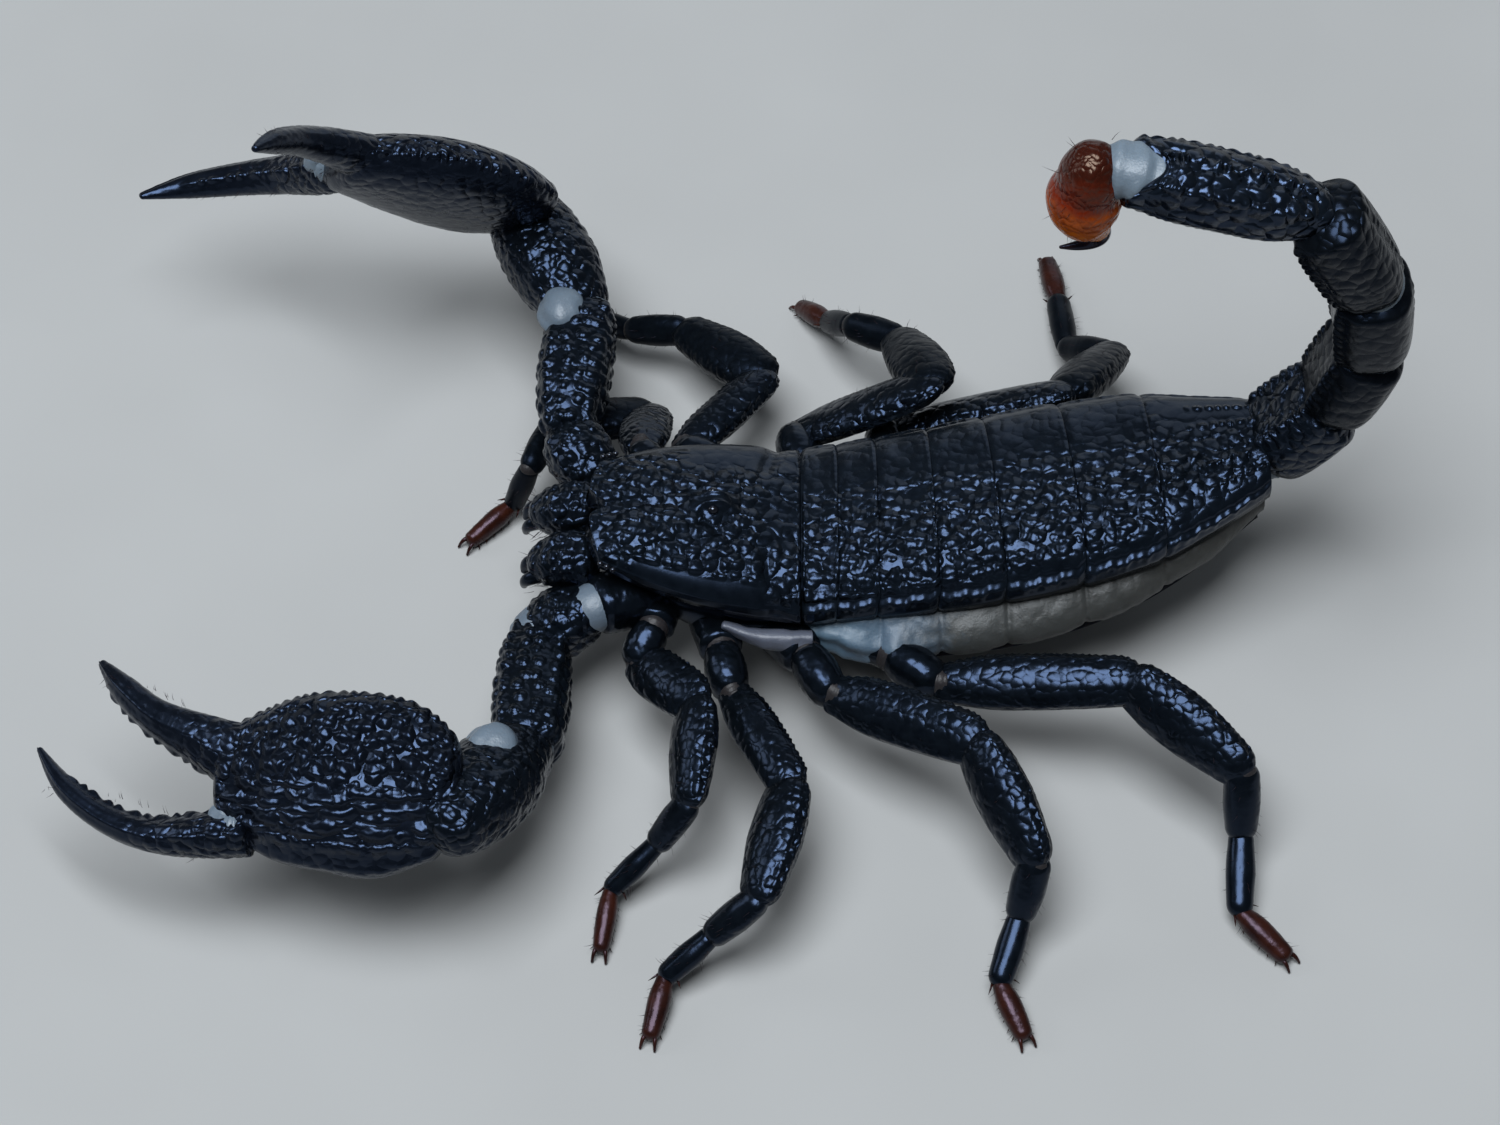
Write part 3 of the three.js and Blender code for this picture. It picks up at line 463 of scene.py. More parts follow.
floorFinish, tree, place = newFinish("pale floor")
setInputs(tree, tree.nodes["Principled BSDF"], {"Roughness": 0.8, "Base Color": addRamp(
    tree, addNoise(tree, place, 0.02, 3), [(0.3, (0.268, 0.265, 0.258)), (0.7, (0.288, 0.285, 0.278))])})
floorMesh = bpy.data.meshes.new("floor")
floorMesh.from_pydata([(-4, -4, 0), (4, -4, 0), (4, 4, 0), (-4, 4, 0)], [], [(0, 1, 2, 3)])
floorMesh.materials.append(floorFinish)
floor = bpy.data.objects.new("floor", floorMesh)
bpy.context.scene.collection.objects.link(floor)

lightSettings = dict(
    sky=dict(place=(-0.12, -0.12, 0.90), size=0.54, power=15.5, colour=(0.88, 0.94, 1.0)),
    window=dict(place=(-0.75, 0.25, 0.45), size=0.35, power=1.2, colour=(0.86, 0.93, 1.0)),
    behind=dict(place=(0.20, 0.90, 0.36), size=0.70, power=1.1, colour=(0.80, 0.90, 1.0)),
)
for name, light in lightSettings.items():
    lamp = bpy.data.objects.new(name, bpy.data.lights.new(name, "AREA"))
    lamp.data.size = light["size"]
    lamp.data.energy = light["power"]
    lamp.data.color = light["colour"]
    lamp.location = light["place"]
    lamp.rotation_euler = (Vector((0, 0, 0.02)) - lamp.location).to_track_quat("-Z", "Y").to_euler()
    bpy.context.scene.collection.objects.link(lamp)
world = bpy.data.worlds.new("studio")
bpy.context.scene.world = world
world.use_nodes = True
setInputs(world.node_tree, world.node_tree.nodes["Background"], {"Color": (0.72, 0.80, 0.88, 1), "Strength": 0.13})
bpy.context.scene.view_settings.view_transform = "Standard"

# fore body
carapaceSettings = dict(
    length=21.8, tilt=12, edge=0.8,
    halfWidths=[6.2, 8.0, 9.3, 9.9, 10.0],
    domes=[2.4, 3.6, 4.3, 4.8, 4.9],
    eyeMound=-9.6,
    rows=210, across=230,
)
marginHeight = 12.5
tilt = math.radians(carapaceSettings["tilt"])


def onForeBody(x, y, z):
    x, y, z = np.broadcast_arrays(np.asarray(x, float), np.asarray(y, float), np.asarray(z, float))
    lean = math.sin(tilt) * np.clip(-3 * x / carapaceSettings["length"], 0, 1)
    return np.stack([
        math.cos(tilt) * x + lean * z, y, marginHeight - math.sin(tilt) * x + math.cos(tilt) * z], -1)


def foreWidth(x):
    return smoothThrough(carapaceSettings["halfWidths"], 1 + np.asarray(x) / carapaceSettings["length"])


def foreDome(x):
    return smoothThrough(carapaceSettings["domes"], 1 + np.asarray(x) / carapaceSettings["length"])


def plateLoop(across, under=14):  # -1 to 1 over the top, then back underneath
    over = np.sin(np.linspace(-1, 1, across) * math.pi / 2)
    return np.concatenate([over, np.linspace(0.985, -0.985, under)]), np.arange(across + under) < across


def buildCarapace():
    s = carapaceSettings
    q, isTop = plateLoop(s["across"])
    t = np.linspace(0, 1, s["rows"])
    x = (-s["length"] + (s["length"] - 0.1) * t)[:, None]
    arch = (1 - np.abs(q)**2.6)**(1 / 2.2)
    height = np.where(isTop, s["edge"] + (foreDome(x) - s["edge"]) * arch, 0.05)
    notch = (1 - t[:, None])**3 * 1.8 * bell(q, 0, 0.16) + (1 - t[:, None])**2 * 1.6 * q * q
    wide = foreWidth(x) * q
    grid = onForeBody(x + notch, wide, height)
    y, xx = wide, x + 0 * q
    fromEyes = xx - s["eyeMound"]
    absQ = np.abs(q) + 0 * xx
    patch = (0.7 + 0.3 * ease(0.02, 0.12, absQ)) * ease(0.85, 0.77, absQ) * (0.45 + 0.55 * ease(-3.5, -6, xx))
    corner = ease(-4.6, -2.6, xx) * ease(0.25, 0.5, absQ) * ease(0.97, 0.9, absQ)
    brim = ease(-17.5, -19.5, xx) * ease(0.99, 0.9, absQ)
    farSide = ease(0.30, 0.62, q) * ease(-15, -11, xx)  # the far rear half is satin smooth
    grit = np.maximum(np.maximum(patch * (1 - 0.88 * farSide), corner * (1 - 0.75 * farSide)), brim)
    grit = grit * (1 - np.exp(-((fromEyes / 1.8)**2 + (y / 1.5)**2)**2))
    coarse = grains(grid, 1.0, 3) * 0.08 * grit + 0.03 * waver(grid, 2.2, 4)
    fine = grains(grid, 0.5, 9) * 0.02 * grit
    hump = 1.35 * np.exp(-((fromEyes / 1.9)**2 + (y / 1.15)**2)**1.3)
    brow = 0.46 * bell(np.abs(y), 0.62, 0.24) * bell(fromEyes, -0.2, 1.5, 4)
    groove = bell(y, 0, 0.75) * -0.06 * ease(-7.5, -5.0, xx)
    sideGroove = -0.42 * bell(xx + 5.6, 0.32 * np.abs(y), 1.1) * ease(3.0, 6.2, np.abs(y))
    frontLobe = 0.35 * np.exp(-(((xx + 16.6) / 3.2)**2 + ((np.abs(y) - 3.2) / 2.0)**2))
    rim = 0.07 * bell(np.abs(q), 0.985, 0.010) + 0.08 * bell(xx, -0.45, 0.3)
    lift = np.where(isTop, coarse + fine + hump + brow + groove + sideGroove + frontLobe + rim, 0)
    lift = lift * ease(0, 0.012, t)[:, None] * ease(1, 0.99, t)[:, None]
    grid = grid + outward(grid) * lift[..., None]
    shell = grid, ringFaces(s["rows"], len(q)), {"grit": grit}
    makePiece("carapaceShell", shell, plateFinish, ["carapace"])


def ballPart(centre, radii, axes=None, rings=16, around=20):
    t = np.linspace(0.02, math.pi - 0.02, rings)
    a = np.arange(around) * 2 * math.pi / around
    wide = np.sin(t)[:, None]
    ball = np.stack([np.cos(t)[:, None] + 0 * a, wide * np.sin(a), wide * np.cos(a)], -1)
    ball = ball[::-1] * np.asarray(radii)
    if axes is not None:
        ball = ball @ np.asarray(axes)
    return (np.asarray(centre) + ball).reshape(-1, 3), ringFaces(rings, around)


def wrinkled(part, centre, seed):  # a soft pouch with a few uneven folds
    points = part[0]
    out = unit(points - centre)
    folds = 0.14 * np.sin(points[:, 2] * 2.6 + 2.2 * waver(points, 2.4, seed)) + 0.08 * waver(points, 0.9, seed + 1)
    return points + out * folds[:, None], part[1]


eyeSettings = dict(
    lens=(0.54, 0.46, 0.5), aside=1.08, raised=0.55,
    sideLens=(0.3, 0.3, 0.28), sideFrom=1.6, sideStep=0.62,
)


def buildEyes():
    s = eyeSettings
    for side, sign in sides.items():
        x = carapaceSettings["eyeMound"]
        seat = onForeBody(x - 0.25, sign * s["aside"], foreDome(x) + s["raised"])
        makePiece(f"eyeLens_{side}", ballPart(seat, s["lens"]), eyeFinish, [f"eye_{side}"])
        row = []
        for i in range(3):
            x = -carapaceSettings["length"] + s["sideFrom"] + s["sideStep"] * i
            seat = onForeBody(x, sign * (foreWidth(x) - 0.16 + 0.05 * i), carapaceSettings["edge"] + s["raised"])
            row.append(ballPart(seat, s["sideLens"], None, 10, 12))
        makePiece(f"sideEyeRow_{side}", joined(row), eyeFinish, [f"side_eyes_{side}"])


buildCarapace()
buildEyes()
print("carapace and eyes made")

# back plates
trunkSettings = dict(
    plateEnds=[0, 3.5, 7.4, 12.9, 18.9, 26.5, 34.5, 45.3],
    plateHalfWidths=[10.0, 10.1, 10.3, 10.5, 10.7, 10.6, 9.7, 5.6],
    plateDomes=[4.9, 4.9, 4.9, 5.0, 5.0, 4.9, 4.6, 3.4],
    skinHalfWidths=[9.4, 11.8, 12.6, 12.7, 12.2, 10.9, 8.4, 5.0],
    skinDepths=[6.4, 7.4, 8.0, 8.3, 8.2, 7.6, 6.4, 4.6],
    edge=0.8, across=200, skinRows=300, skinAround=220,
)
trunkEnds = np.array(trunkSettings["plateEnds"], float)
trunkLength = trunkEnds[-1]


def onTrunk(x, y, z):
    x, y, z = np.broadcast_arrays(np.asarray(x, float), np.asarray(y, float), np.asarray(z, float))
    # the bend to the right slants the plates' joints
    return np.stack([
        x - 0.1 * ease(4, 22, x) * y,
        0.085 * x + 0.0016 * x * x + y,
        marginHeight + 0.06 * x + 0.0011 * x * x + z], -1)


def buildBackPlate(i):
    s = trunkSettings
    start, end = trunkEnds[i], trunkEnds[i + 1]
    length = end - start
    q, isTop = plateLoop(s["across"])
    rows = int(26 + length * 9)
    t = np.linspace(0, 1, rows)
    x = (start - (0.5 if i else 0.05) + (length + (0.5 if i else 0.05) + 0.12) * t)[:, None]
    wide = np.interp(x, trunkEnds, s["plateHalfWidths"])
    dome = np.interp(x, trunkEnds, s["plateDomes"])
    corner = 1 - 0.05 * bell(t, 0, 0.07) - 0.035 * bell(t, 1, 0.06) + 0.012 * np.sin(t * math.pi)
    wide = wide * corner[:, None]
    arch = (1 - np.abs(q)**2.6)**(1 / 2.2)
    tucked = ((-0.42 if i else -0.10) * np.exp(-t * length / 0.50) + 0.20 * ease(0.45, 0.97, t))[:, None]
    height = np.where(isTop, s["edge"] + (dome - s["edge"]) * arch + tucked, 0.05)
    y = wide * q
    grid = onTrunk(x, y, height)
    absQ = np.abs(q) + 0 * x
    back = ease(0.02, 0.10, t)[:, None]
    near = 0.12 + 0.88 * ease(0.40, -0.05, q)  # the right side is worn smoother
    grit = back * (0.6 + 0.4 * ease(0.0, 0.15, absQ)) * ease(0.93, 0.90 - 0.025 * i, absQ) * near
    if i == 6:  # a granular band down the middle of the last plate, smooth beside it
        grit = grit * (0.35 + 0.65 * ease(0.60, 0.42, absQ)) + 0.25 * ease(0.35, 0.10, t)[:, None]
    coarse = grains(grid, 0.85, 20 + i) * 0.05 * grit + 0.03 * waver(grid, 1.8, i)
    fine = grains(grid, 0.45, 31 + i) * 0.02 * grit
    wave = 0.006 * np.sin(x * 2.6 + i) + 0.004 * np.sin(x * 6.1 + 2 * i)
    flange = 0.20 * bell(absQ - 0.972, wave, 0.014) * np.sin(np.clip(t, 0, 1) * math.pi)[:, None]**0.5
    gutter = -0.12 * bell(absQ - 0.93, wave, 0.02)
    hem = (0.05 * bell((1 - t) * length, 0.25, 0.22))[:, None] * (0.7 + 0.5 * np.abs(np.sin(y * 4.2)))
    lift = coarse + fine + flange + gutter + hem
    if i == 6:
        rows4 = bell(absQ, 0.30, 0.045) + bell(absQ, 0.62, 0.04)
        lift = lift + rows4 * 0.26 * (ease(0.3, 0.55, t) * teeth(t * length, 0.9))[:, None]
    lift = np.where(isTop, lift, 0) * ease(1, 0.985, t)[:, None]
    grid = grid + outward(grid) * lift[..., None]
    shell = grid, ringFaces(rows, len(q)), {"grit": grit}
    makePiece(f"backPlate_{i + 1}", shell, plateFinish, [f"tergite_{i + 1}"])


for i in range(7):
    buildBackPlate(i)
print("back plates made")


# soft skin of the trunk, and the belly plates set in it
def trunkSkinGrid(xs, angle, out=0.0):
    t = xs / trunkLength
    wide = smoothThrough(trunkSettings["skinHalfWidths"], t)[:, None] + out
    deep = smoothThrough(trunkSettings["skinDepths"], t)[:, None]
    y = np.sin(angle)[None, :] * wide
    z = -0.42 * deep + np.cos(angle)[None, :] * (0.58 * deep + out)
    return onTrunk(xs[:, None], y, np.minimum(z, -0.25))


foreFoldSettings = dict(
    knots=[[-7.8, 9.7, 12.3], [-4.6, 10.5, 11.3], [-1.6, 10.7, 11.0], [1.2, 10.6, 11.1]],
    radii=[0.45, 0.85, 1.05, 0.8], middle=[-4.0, 0, 11.0],
)


def buildTrunkSkin():
    around = trunkSettings["skinAround"]
    xs = np.concatenate([
        [0.15], np.linspace(0.2, trunkLength - 0.2, trunkSettings["skinRows"]), [trunkLength - 0.15]])
    angle = np.arange(around) * 2 * math.pi / around
    grid = trunkSkinGrid(xs, angle)
    x = xs[:, None] + 0 * angle
    side = np.abs(np.sin(angle))[None, :] + 0 * x
    below = ease(-0.2, -0.75, np.cos(angle))[None, :]
    creases = sum(bell(x - end, 0.25, 0.28) for end in trunkEnds[1:-1])
    pouch = sum(bell(x, (a + b) / 2, 0.36 * (b - a), 4) for a, b in zip(trunkEnds[:-1], trunkEnds[1:]))
    folds = np.sin(grid[..., 2] * 3.6 + 3.2 * waver(grid, 2.6, 2)) * 0.22 * ease(16, 6, x)
    lift = (0.30 * pouch - 0.24 * creases * ease(2, 9, x)) * side**2 * (1 - below) + folds * (1 - below)
    lift = lift + 0.10 * waver(grid, 1.3, 6) + 0.05 * waver(grid, 0.55, 8)
    lumps = 0.65 + 0.85 * waver(grid, 2.3, 12) + 0.08 * waver(grid, 1.2, 14)
    # folds over the last coxae
    lift = lift + 1.1 * lumps * np.exp(-((x - 7.5) / 5.0)**4 - ((grid[..., 2] - 10.3) / 1.9)**2)
    lift = lift * ease(0.1, 1.2, x) * ease(trunkLength - 0.1, trunkLength - 1.2, x)
    grid = grid + outward(grid) * lift[..., None]
    fold = foreFoldSettings
    makeSkin("foreFolds", [
        wrinkled(curvedPart([mirrored(knot, side) for knot in fold["knots"]], fold["radii"], fold["radii"],
                            zUp, 90, 60), np.array(fold["middle"]), 21)
        for side in sides], foldSkinFinish)
    makePiece("trunkSkin", (grid, ringFaces(len(xs), around)), sideSkinFinish, ["abdomen"])


bellySettings = dict(ends=[9.5, 16.0, 22.5, 29.5, 36.5, 44.6], between=(112, 248), rows=60, across=90, slitAt=6.0)


def buildBellyPlates():
    ends = bellySettings["ends"]
    for i, (a, b) in enumerate(zip(ends[:-1], ends[1:])):
        xs = np.linspace(a - 0.3, b, bellySettings["rows"])
        angle = np.linspace(*np.radians(bellySettings["between"]), bellySettings["across"])
        over = trunkSkinGrid(xs, angle, 0.38)
        under = trunkSkinGrid(xs, angle[::-1], -0.3)
        grid = np.concatenate([over, under], 1)
        x = xs[:, None] + 0 * grid[..., 0]
        slit = 0  # breathing slits, a pair in each plate but the last
        for sign in sides.values():
            aside = grid[..., 1] - onTrunk(x, sign * bellySettings["slitAt"], 0)[..., 1]
            slit = slit + np.exp(-(((x - (a + b) / 2) / 0.9)**2 + (aside / 0.28)**2)) * (i < 4)
        isOver = np.arange(grid.shape[1]) < len(angle)
        bulge = 0.06 * np.sin((x - a) / (b - a) * math.pi)
        lift = np.where(isOver, bulge - 0.3 * slit + 0.02 * waver(grid, 0.8, i), 0)
        grid = grid + outward(grid) * lift[..., None]
        plate = grid, ringFaces(len(xs), grid.shape[1])
        makePiece(f"bellyPlate_{i + 1}", plate, bellyFinish)


combSettings = dict(
    knots=[[0.6, 1.6, 0], [2.4, 4.6, -0.1], [5.0, 7.6, 0.5]], depth=9.6, teeth=18, toothLength=1.9,
)


def buildCombs():
    s = combSettings
    for side, sign in sides.items():
        knots = np.array([onTrunk(x, sign * y, z - s["depth"]) for x, y, z in s["knots"]])
        parts = [curvedPart(knots, [0.7, 0.9, 0.4], [0.45, 0.4, 0.3], zUp, 50, 20)]
        for k in range(s["teeth"]):
            root = smoothThrough(knots, np.array([0.04 + 0.92 * k / (s["teeth"] - 1)]))[0]
            tip = root + np.array([s["toothLength"] - 0.05 * k, -sign * 0.5, -0.15])
            parts.append(curvedPart(
                [root, (root + tip) / 2 + [0, 0, -0.1], tip], [0.2, 0.17, 0.12], [0.3, 0.26, 0.16], zUp, 10, 8))
        makePiece(f"comb_{side}", joined(parts), combFinish, [f"pectine_{side}"])


buildTrunkSkin()
buildBellyPlates()
buildCombs()
print("skin and belly made")

# legs
legSettings = [
    dict(root=[-13.5, 2.2, 9.0], end=[-14.4, 8.9, 10.8],
         lengths=[3.9, 9.6, 10.2, 5.9, 6.4, 6.0], size=0.94, deep=1.0),
    dict(root=[-9.5, 2.4, 8.2], end=[-7.8, 11.0, 9.9],
         lengths=[4.7, 13.2, 11.7, 6.3, 5.9, 6.0], size=1.02, deep=0.8),
    dict(root=[-6.0, 2.6, 7.8], end=[0.4, 11.3, 9.5],
         lengths=[5.2, 16.3, 12.8, 6.4, 6.6, 5.7], size=1.06, deep=0.95),
    dict(root=[-2.5, 2.8, 7.8], end=[9.0, 11.3, 9.5],
         lengths=[5.3, 19.2, 13.5, 7.0, 7.6, 6.2], size=1.1, deep=0.88),
]
legPoses = dict(
    left=[
        [[-120, -26], [-48, 19], [-94, -11], [-150, -52], [-144, -31], [-99]],
        [[-79, -4], [-64, 7], [-105, -10], [-158, -39], [-147, -29], [-104]],
        [[-62, -1], [-30, 13], [-65, -12], [-115, -61], [-109, -22], [-66]],
        [[-40, -1], [-6, 10], [-41, -8], [-85, -61], [-93, -20], [-45]],
    ],
    right=[
        [[115, 4], [86, -30], [-165, 6], [-111, 5], [-173, -72], [-137]],
        [[152, -2], [50, -3], [137, -11], [163, -19], [143, -24], [110]],
        [[101, -14], [1, 31], [106, -30], [144, -18], [117, -45], [125]],
        [[94, -10], [3, 16], [62, -30], [137, -36], [94, -9], [98]],
    ],
)
# half widths, then half heights, along each segment
segmentSizes = dict(
    hip=[[1.7, 2.0, 1.8], [1.9, 2.2, 2.0]],
    femur=[[1.15, 1.5, 1.6, 1.55, 1.35], [1.8, 2.6, 2.75, 2.65, 2.45]],
    patella=[[1.5, 1.8, 1.85, 1.65, 1.45], [2.2, 2.65, 2.75, 2.4, 1.95]],
    tibia=[[1.2, 1.35, 1.2], [1.55, 1.65, 1.4]],
    basitarsus=[[0.95, 1.15, 1.05], [1.1, 1.3, 1.15]],
)
soleHeight = 0.9


def legJoints(leg, pose, side):
    joints = jointsAlong(mirrored(leg["end"], side), leg["lengths"][:5], pose[:5])
    drop = math.degrees(math.asin((soleHeight - joints[5][2]) / leg["lengths"][5]))
    joints.append(joints[5] + leg["lengths"][5] * headed(pose[5][0], drop))
    return joints


def bladeRelief(seed, teethDepth=0.16):
    def relief(grid, s, a):
        ridge = crest(a, 0, 9) * (0.10 + teethDepth * teeth(s, 0.75, seed))
        ridge = ridge + 0.12 * crest(a, 150, 10) * teeth(s, 0.8, seed + 1) + 0.12 * crest(a, -150, 10)
        line = 0.09 * crest(a, 28, 8) + 0.09 * crest(a, -28, 8)
        rough = grains(grid, 0.6, seed) * 0.05 * (0.4 + crest(a, 0, 60))
        return ridge + line + rough + 0.05 * waver(grid, 2.5, seed)
    return relief


def bladeMarks(grid, s, a):  # granules along the upper and lower edges, smooth broad sides
    return {"grit": 0.26 + 0.74 * crest(a, 0, 36) + 0.4 * crest(a, 180, 30) + 0 * s}


def smoothRelief(seed, depth=0.03):
    return lambda grid, s, a: grains(grid, 0.5, seed) * depth + 0.04 * waver(grid, 1.8, seed) + 0 * s * a


def clawPart(root, knuckle, tip, thick):
    t = np.linspace(0, 1, 9)
    knots = [(1 - u)**2 * root + 2 * u * (1 - u) * knuckle + u * u * tip for u in t]
    return curvedPart(knots, [thick, thick * 0.85, thick * 0.5], [thick * 1.1, thick * 0.9, thick * 0.5],
                      zUp, 22, 14)


def buildLeg(side, index):
    leg = legSettings[index]
    k = leg["size"]
    pose = legPoses[side][index]
    root = mirrored(leg["root"], side)
    hip0, hip, knee, shin, heel, ankle, toe = legJoints(leg, pose, side)
    kneeUp = unit(knee - hip) - unit(shin - knee)
    shinUp = unit(knee - hip) - unit(heel - shin)
    lowUp = unit(shin - knee) - unit(ankle - heel)
    seed = index * 7 + (3 if side == "left" else 0)
    label = f"leg_{index + 1}_{side}"
    half = {name: np.array(sizes) * k for name, sizes in segmentSizes.items()}
    femur = joined([
        limbPart(hip0, hip, *half["hip"], zUp, 44, 48, 2.2, smoothRelief(seed, 0.09)),
        limbPart(hip, knee, half["femur"][0], half["femur"][1] * leg["deep"], kneeUp, 110, 64, 2.1,
                 bladeRelief(seed + 1), (0.3, 0.55), bladeMarks),
    ])
    makePiece(f"{label}_femurShell", femur, limbFinish, [f"{label}_femur"])
    patella = limbPart(knee, shin, *half["patella"], shinUp, 96, 64, 2.1,
                       bladeRelief(seed + 2, 0.12), (0.45, 0.5), bladeMarks)
    # the right legs' patellae, tibiae and basitarsi take the copy with weaker reflection, painted shade
    sideShadeFinish = shadedLimbFinish if side == "right" else limbFinish
    makePiece(f"{label}_patellaShell", patella, sideShadeFinish, [f"{label}_patella"])
    tibia = limbPart(shin, heel, *half["tibia"], lowUp, 60, 44, 2.1, smoothRelief(seed + 3, 0.015),
                     marks=lambda grid, s, a: {"grit": 0.35 * crest(a, 0, 40) + 0 * s})
    basitarsus = limbPart(heel, ankle, *half["basitarsus"], lowUp, 50, 40, 2.1, smoothRelief(seed + 4, 0.012))
    makePiece(f"{label}_tibiaShell", joined([tibia, basitarsus]), sideShadeFinish, ())
    onward = unit((toe - ankle) * [1, 1, 0])
    across = np.array([-onward[1], onward[0], 0])
    foot = [
        limbPart(ankle, toe, [0.75 * k, 1.05 * k, 1.0 * k, 0.85 * k], [0.8, 1.1, 1.05, 0.88], zUp, 50, 40, 2.2,
                 smoothRelief(seed + 5, 0.03), (0.5, 0.4)),
    ]
    for which in (-1, 1):
        base = toe - onward * 0.3 + across * 0.42 * which * k
        knuckle = base + onward * 0.8 + across * 0.2 * which
        knuckle[2] = soleHeight + 0.35
        tip = base + onward * 1.35 + across * 0.28 * which
        tip[2] = 0.15
        foot.append(clawPart(base, knuckle, tip, 0.24))
        for step in range(5):  # short spines under the last joint
            place = ankle + (toe - ankle) * (0.2 + 0.17 * step) + across * 0.62 * which * k
            heading = onward * 0.5 + across * 0.6 * which + [0, 0, -0.45]
            foot.append(bristlePart(place + [0, 0, -0.45], heading, 0.75, 0.11, 0.1))
        place = ankle - unit(ankle - heel) * 0.3 + across * 0.8 * which
        foot.append(bristlePart(place, onward + across * 0.8 * which - [0, 0, 0.3], 1.3, 0.17, 0.1))
    makePiece(f"{label}_footShell", joined(foot), footFinish, [f"{label}_foot"])
    skins = [
        jointSkinPart(hip0, hip, knee, 1.25 * k, 1.6 * k, zUp),
        jointSkinPart(hip, knee, shin, 1.1 * k, 1.6 * k * leg["deep"], kneeUp, 1.2),
        jointSkinPart(knee, shin, heel, 1.05 * k, 1.3 * k, shinUp, 1.2),
        jointSkinPart(shin, heel, ankle, 0.9 * k, 1.05 * k, lowUp),
        jointSkinPart(root, hip0, hip, 1.6 * k, 1.75 * k, zUp),
    ]
    makeSkin(f"{label}_jointSkin", skins, legSkinFinish)
    hairs = []
    for a, b, wide, count, long in (
            (shin, heel, 1.2, 26, 1.5), (heel, ankle, 1.05, 30, 1.4), (ankle, toe, 0.9, 30, 1.1),
            (knee, shin, 1.9, 14, 1.3), (hip, knee, 1.8, 12, 1.1)):
        axis = unit(b - a)
        s1 = unit(np.cross(axis, [0.2, 0.1, 1]))
        s2 = np.cross(axis, s1)
        for _ in range(count):
            turn = random.uniform(0, 2 * math.pi)
            out = math.cos(turn) * s1 + math.sin(turn) * s2
            place = a + (b - a) * random.uniform(0.1, 0.95) + out * wide * k * 0.85
            if place[2] > 0.9:
                heading = out + axis * random.uniform(0.3, 1.0)
                hairs.append(bristlePart(place, heading, long * random.uniform(0.5, 1), 0.035))
    makeBristles(f"{label}_bristles", hairs)


for side in sides:
    for index in range(4):
        buildLeg(side, index)
print("legs made")

# claw arms
armSettings = dict(
    root=[-13.0, 3.4, 10.5], end=[-20.2, 7.4, 12.0], lengths=[6.4, 15.0, 15.8],
    left=[[-168, -26], [-92, 10], [-119, 21]],
    right=[[121, 12], [85, 3], [119, 6]],
    halfWidths=[3.3, 3.6, 4.5], halfHeights=[3.0, 3.1, 3.9],
    segments=dict(  # shares of the half sizes; rings, points round and squareness; then the tubercles
        trochanter=dict(wide=[0.75, 1, 0.9], high=[0.75, 1, 0.9], mesh=(70, 90, 2.3),
                        knobs=(1.3, 0.22), over=(0.5, 0.5), grit=0.6),
        femur=dict(wide=[0.72, 0.98, 1, 0.95], high=[0.75, 1, 1, 0.95], mesh=(160, 150, 2.9),
                   knobs=(1.55, 0.34, (42, -42, 138, -138)), over=(0.3, 0.45), grit=0.25),
        patella=dict(wide=[0.70, 1, 1, 0.74], high=[0.7, 1, 0.98, 0.72], mesh=(150, 130, 2.3),
                     knobs=(1.5, 0.15, (0, 60, -60, 120, -120)), over=(0.35, 0.4), grit=0.6),
    ),
    elbowPatch=dict(left=[-2.9, -3.1, 3.7], right=[-2.0, -1.2, 1.5]),
    patchRadii=dict(left=(2.9, 2.9, 2.6), right=(2.5, 2.9, 2.2)),
)
handSettings = dict(
    left=dict(heading=169, pitch=-11, roll=33, opening=17),
    right=dict(heading=-163, pitch=28, roll=59, opening=-52),
    palmKnots=[[-0.9, 2.7, -1.5], [4.7, 3.5, -1.0], [10.3, 3.8, -0.1], [15.9, 3.55, 0.5], [22.3, 3.5, 0.7]],
    palmWidths=[5.0, 8.1, 8.45, 7.4, 4.3], palmDepths=[2.3, 3.3, 3.8, 3.4, 2.4],
    fixedKnots=[[14.0, 4.4, 0.6], [19.0, 5.4, 0.9], [24.0, 7.2, 1.1], [28.8, 9.0, 0.8], [33.0, 11.6, -0.4],
                [36.1, 13.9, -1.9]],
    fixedWidths=[4.2, 3.4, 2.4, 1.7, 1.25, 0.35], fixedDepths=[2.8, 2.4, 1.9, 1.45, 1.1, 0.3],
    fingerRoot=[20.4, -1.3, 1.0], fingerReach=21.6,
    fingerKnots=[[-2.0, 0.6, 0], [1.6, -1.0, 0.4], [6.6, -2.9, 0.9], [11.6, -3.2, 1.0], [17.0, -2.0, 0.5],
                 [21.6, 0.4, -0.7]],
    fingerWidths=[2.1, 2.1, 1.6, 1.35, 1.05, 0.25], fingerDepths=[2.3, 2.4, 2.0, 1.7, 1.25, 0.25],
)


def handFrame(side):
    pose = handSettings[side]
    outwardSign = -1 if side == "left" else 1
    along = headed(pose["heading"], pose["pitch"])
    inner = unit(np.cross(zUp, along))
    if inner[1] * outwardSign > 0:
        inner = -inner
    back = np.cross(along, inner)
    if back[2] < 0:
        back = -back
    roll = math.radians(pose["roll"])
    return along, inner * math.cos(roll) + back * math.sin(roll), back * math.cos(roll) - inner * math.sin(roll)


def tubercleRelief(seed, size=1.5, depth=0.3, places=(0, 55, -55, 125, -125)):
    def relief(grid, s, a):
        rows = sum(crest(a, place, 8) * (0.35 + 0.65 * teeth(s, 1.35, seed + place)) for place in places)
        domes = pebbles(s + 0 * a, girth(grid), size, seed, 0.40)
        return domes * depth + rows * depth * 0.7 + 0.06 * waver(grid, 3, seed)
    return relief


def allGrit(strength):
    return lambda grid, s, a: {"grit": strength + 0 * grid[..., 0]}


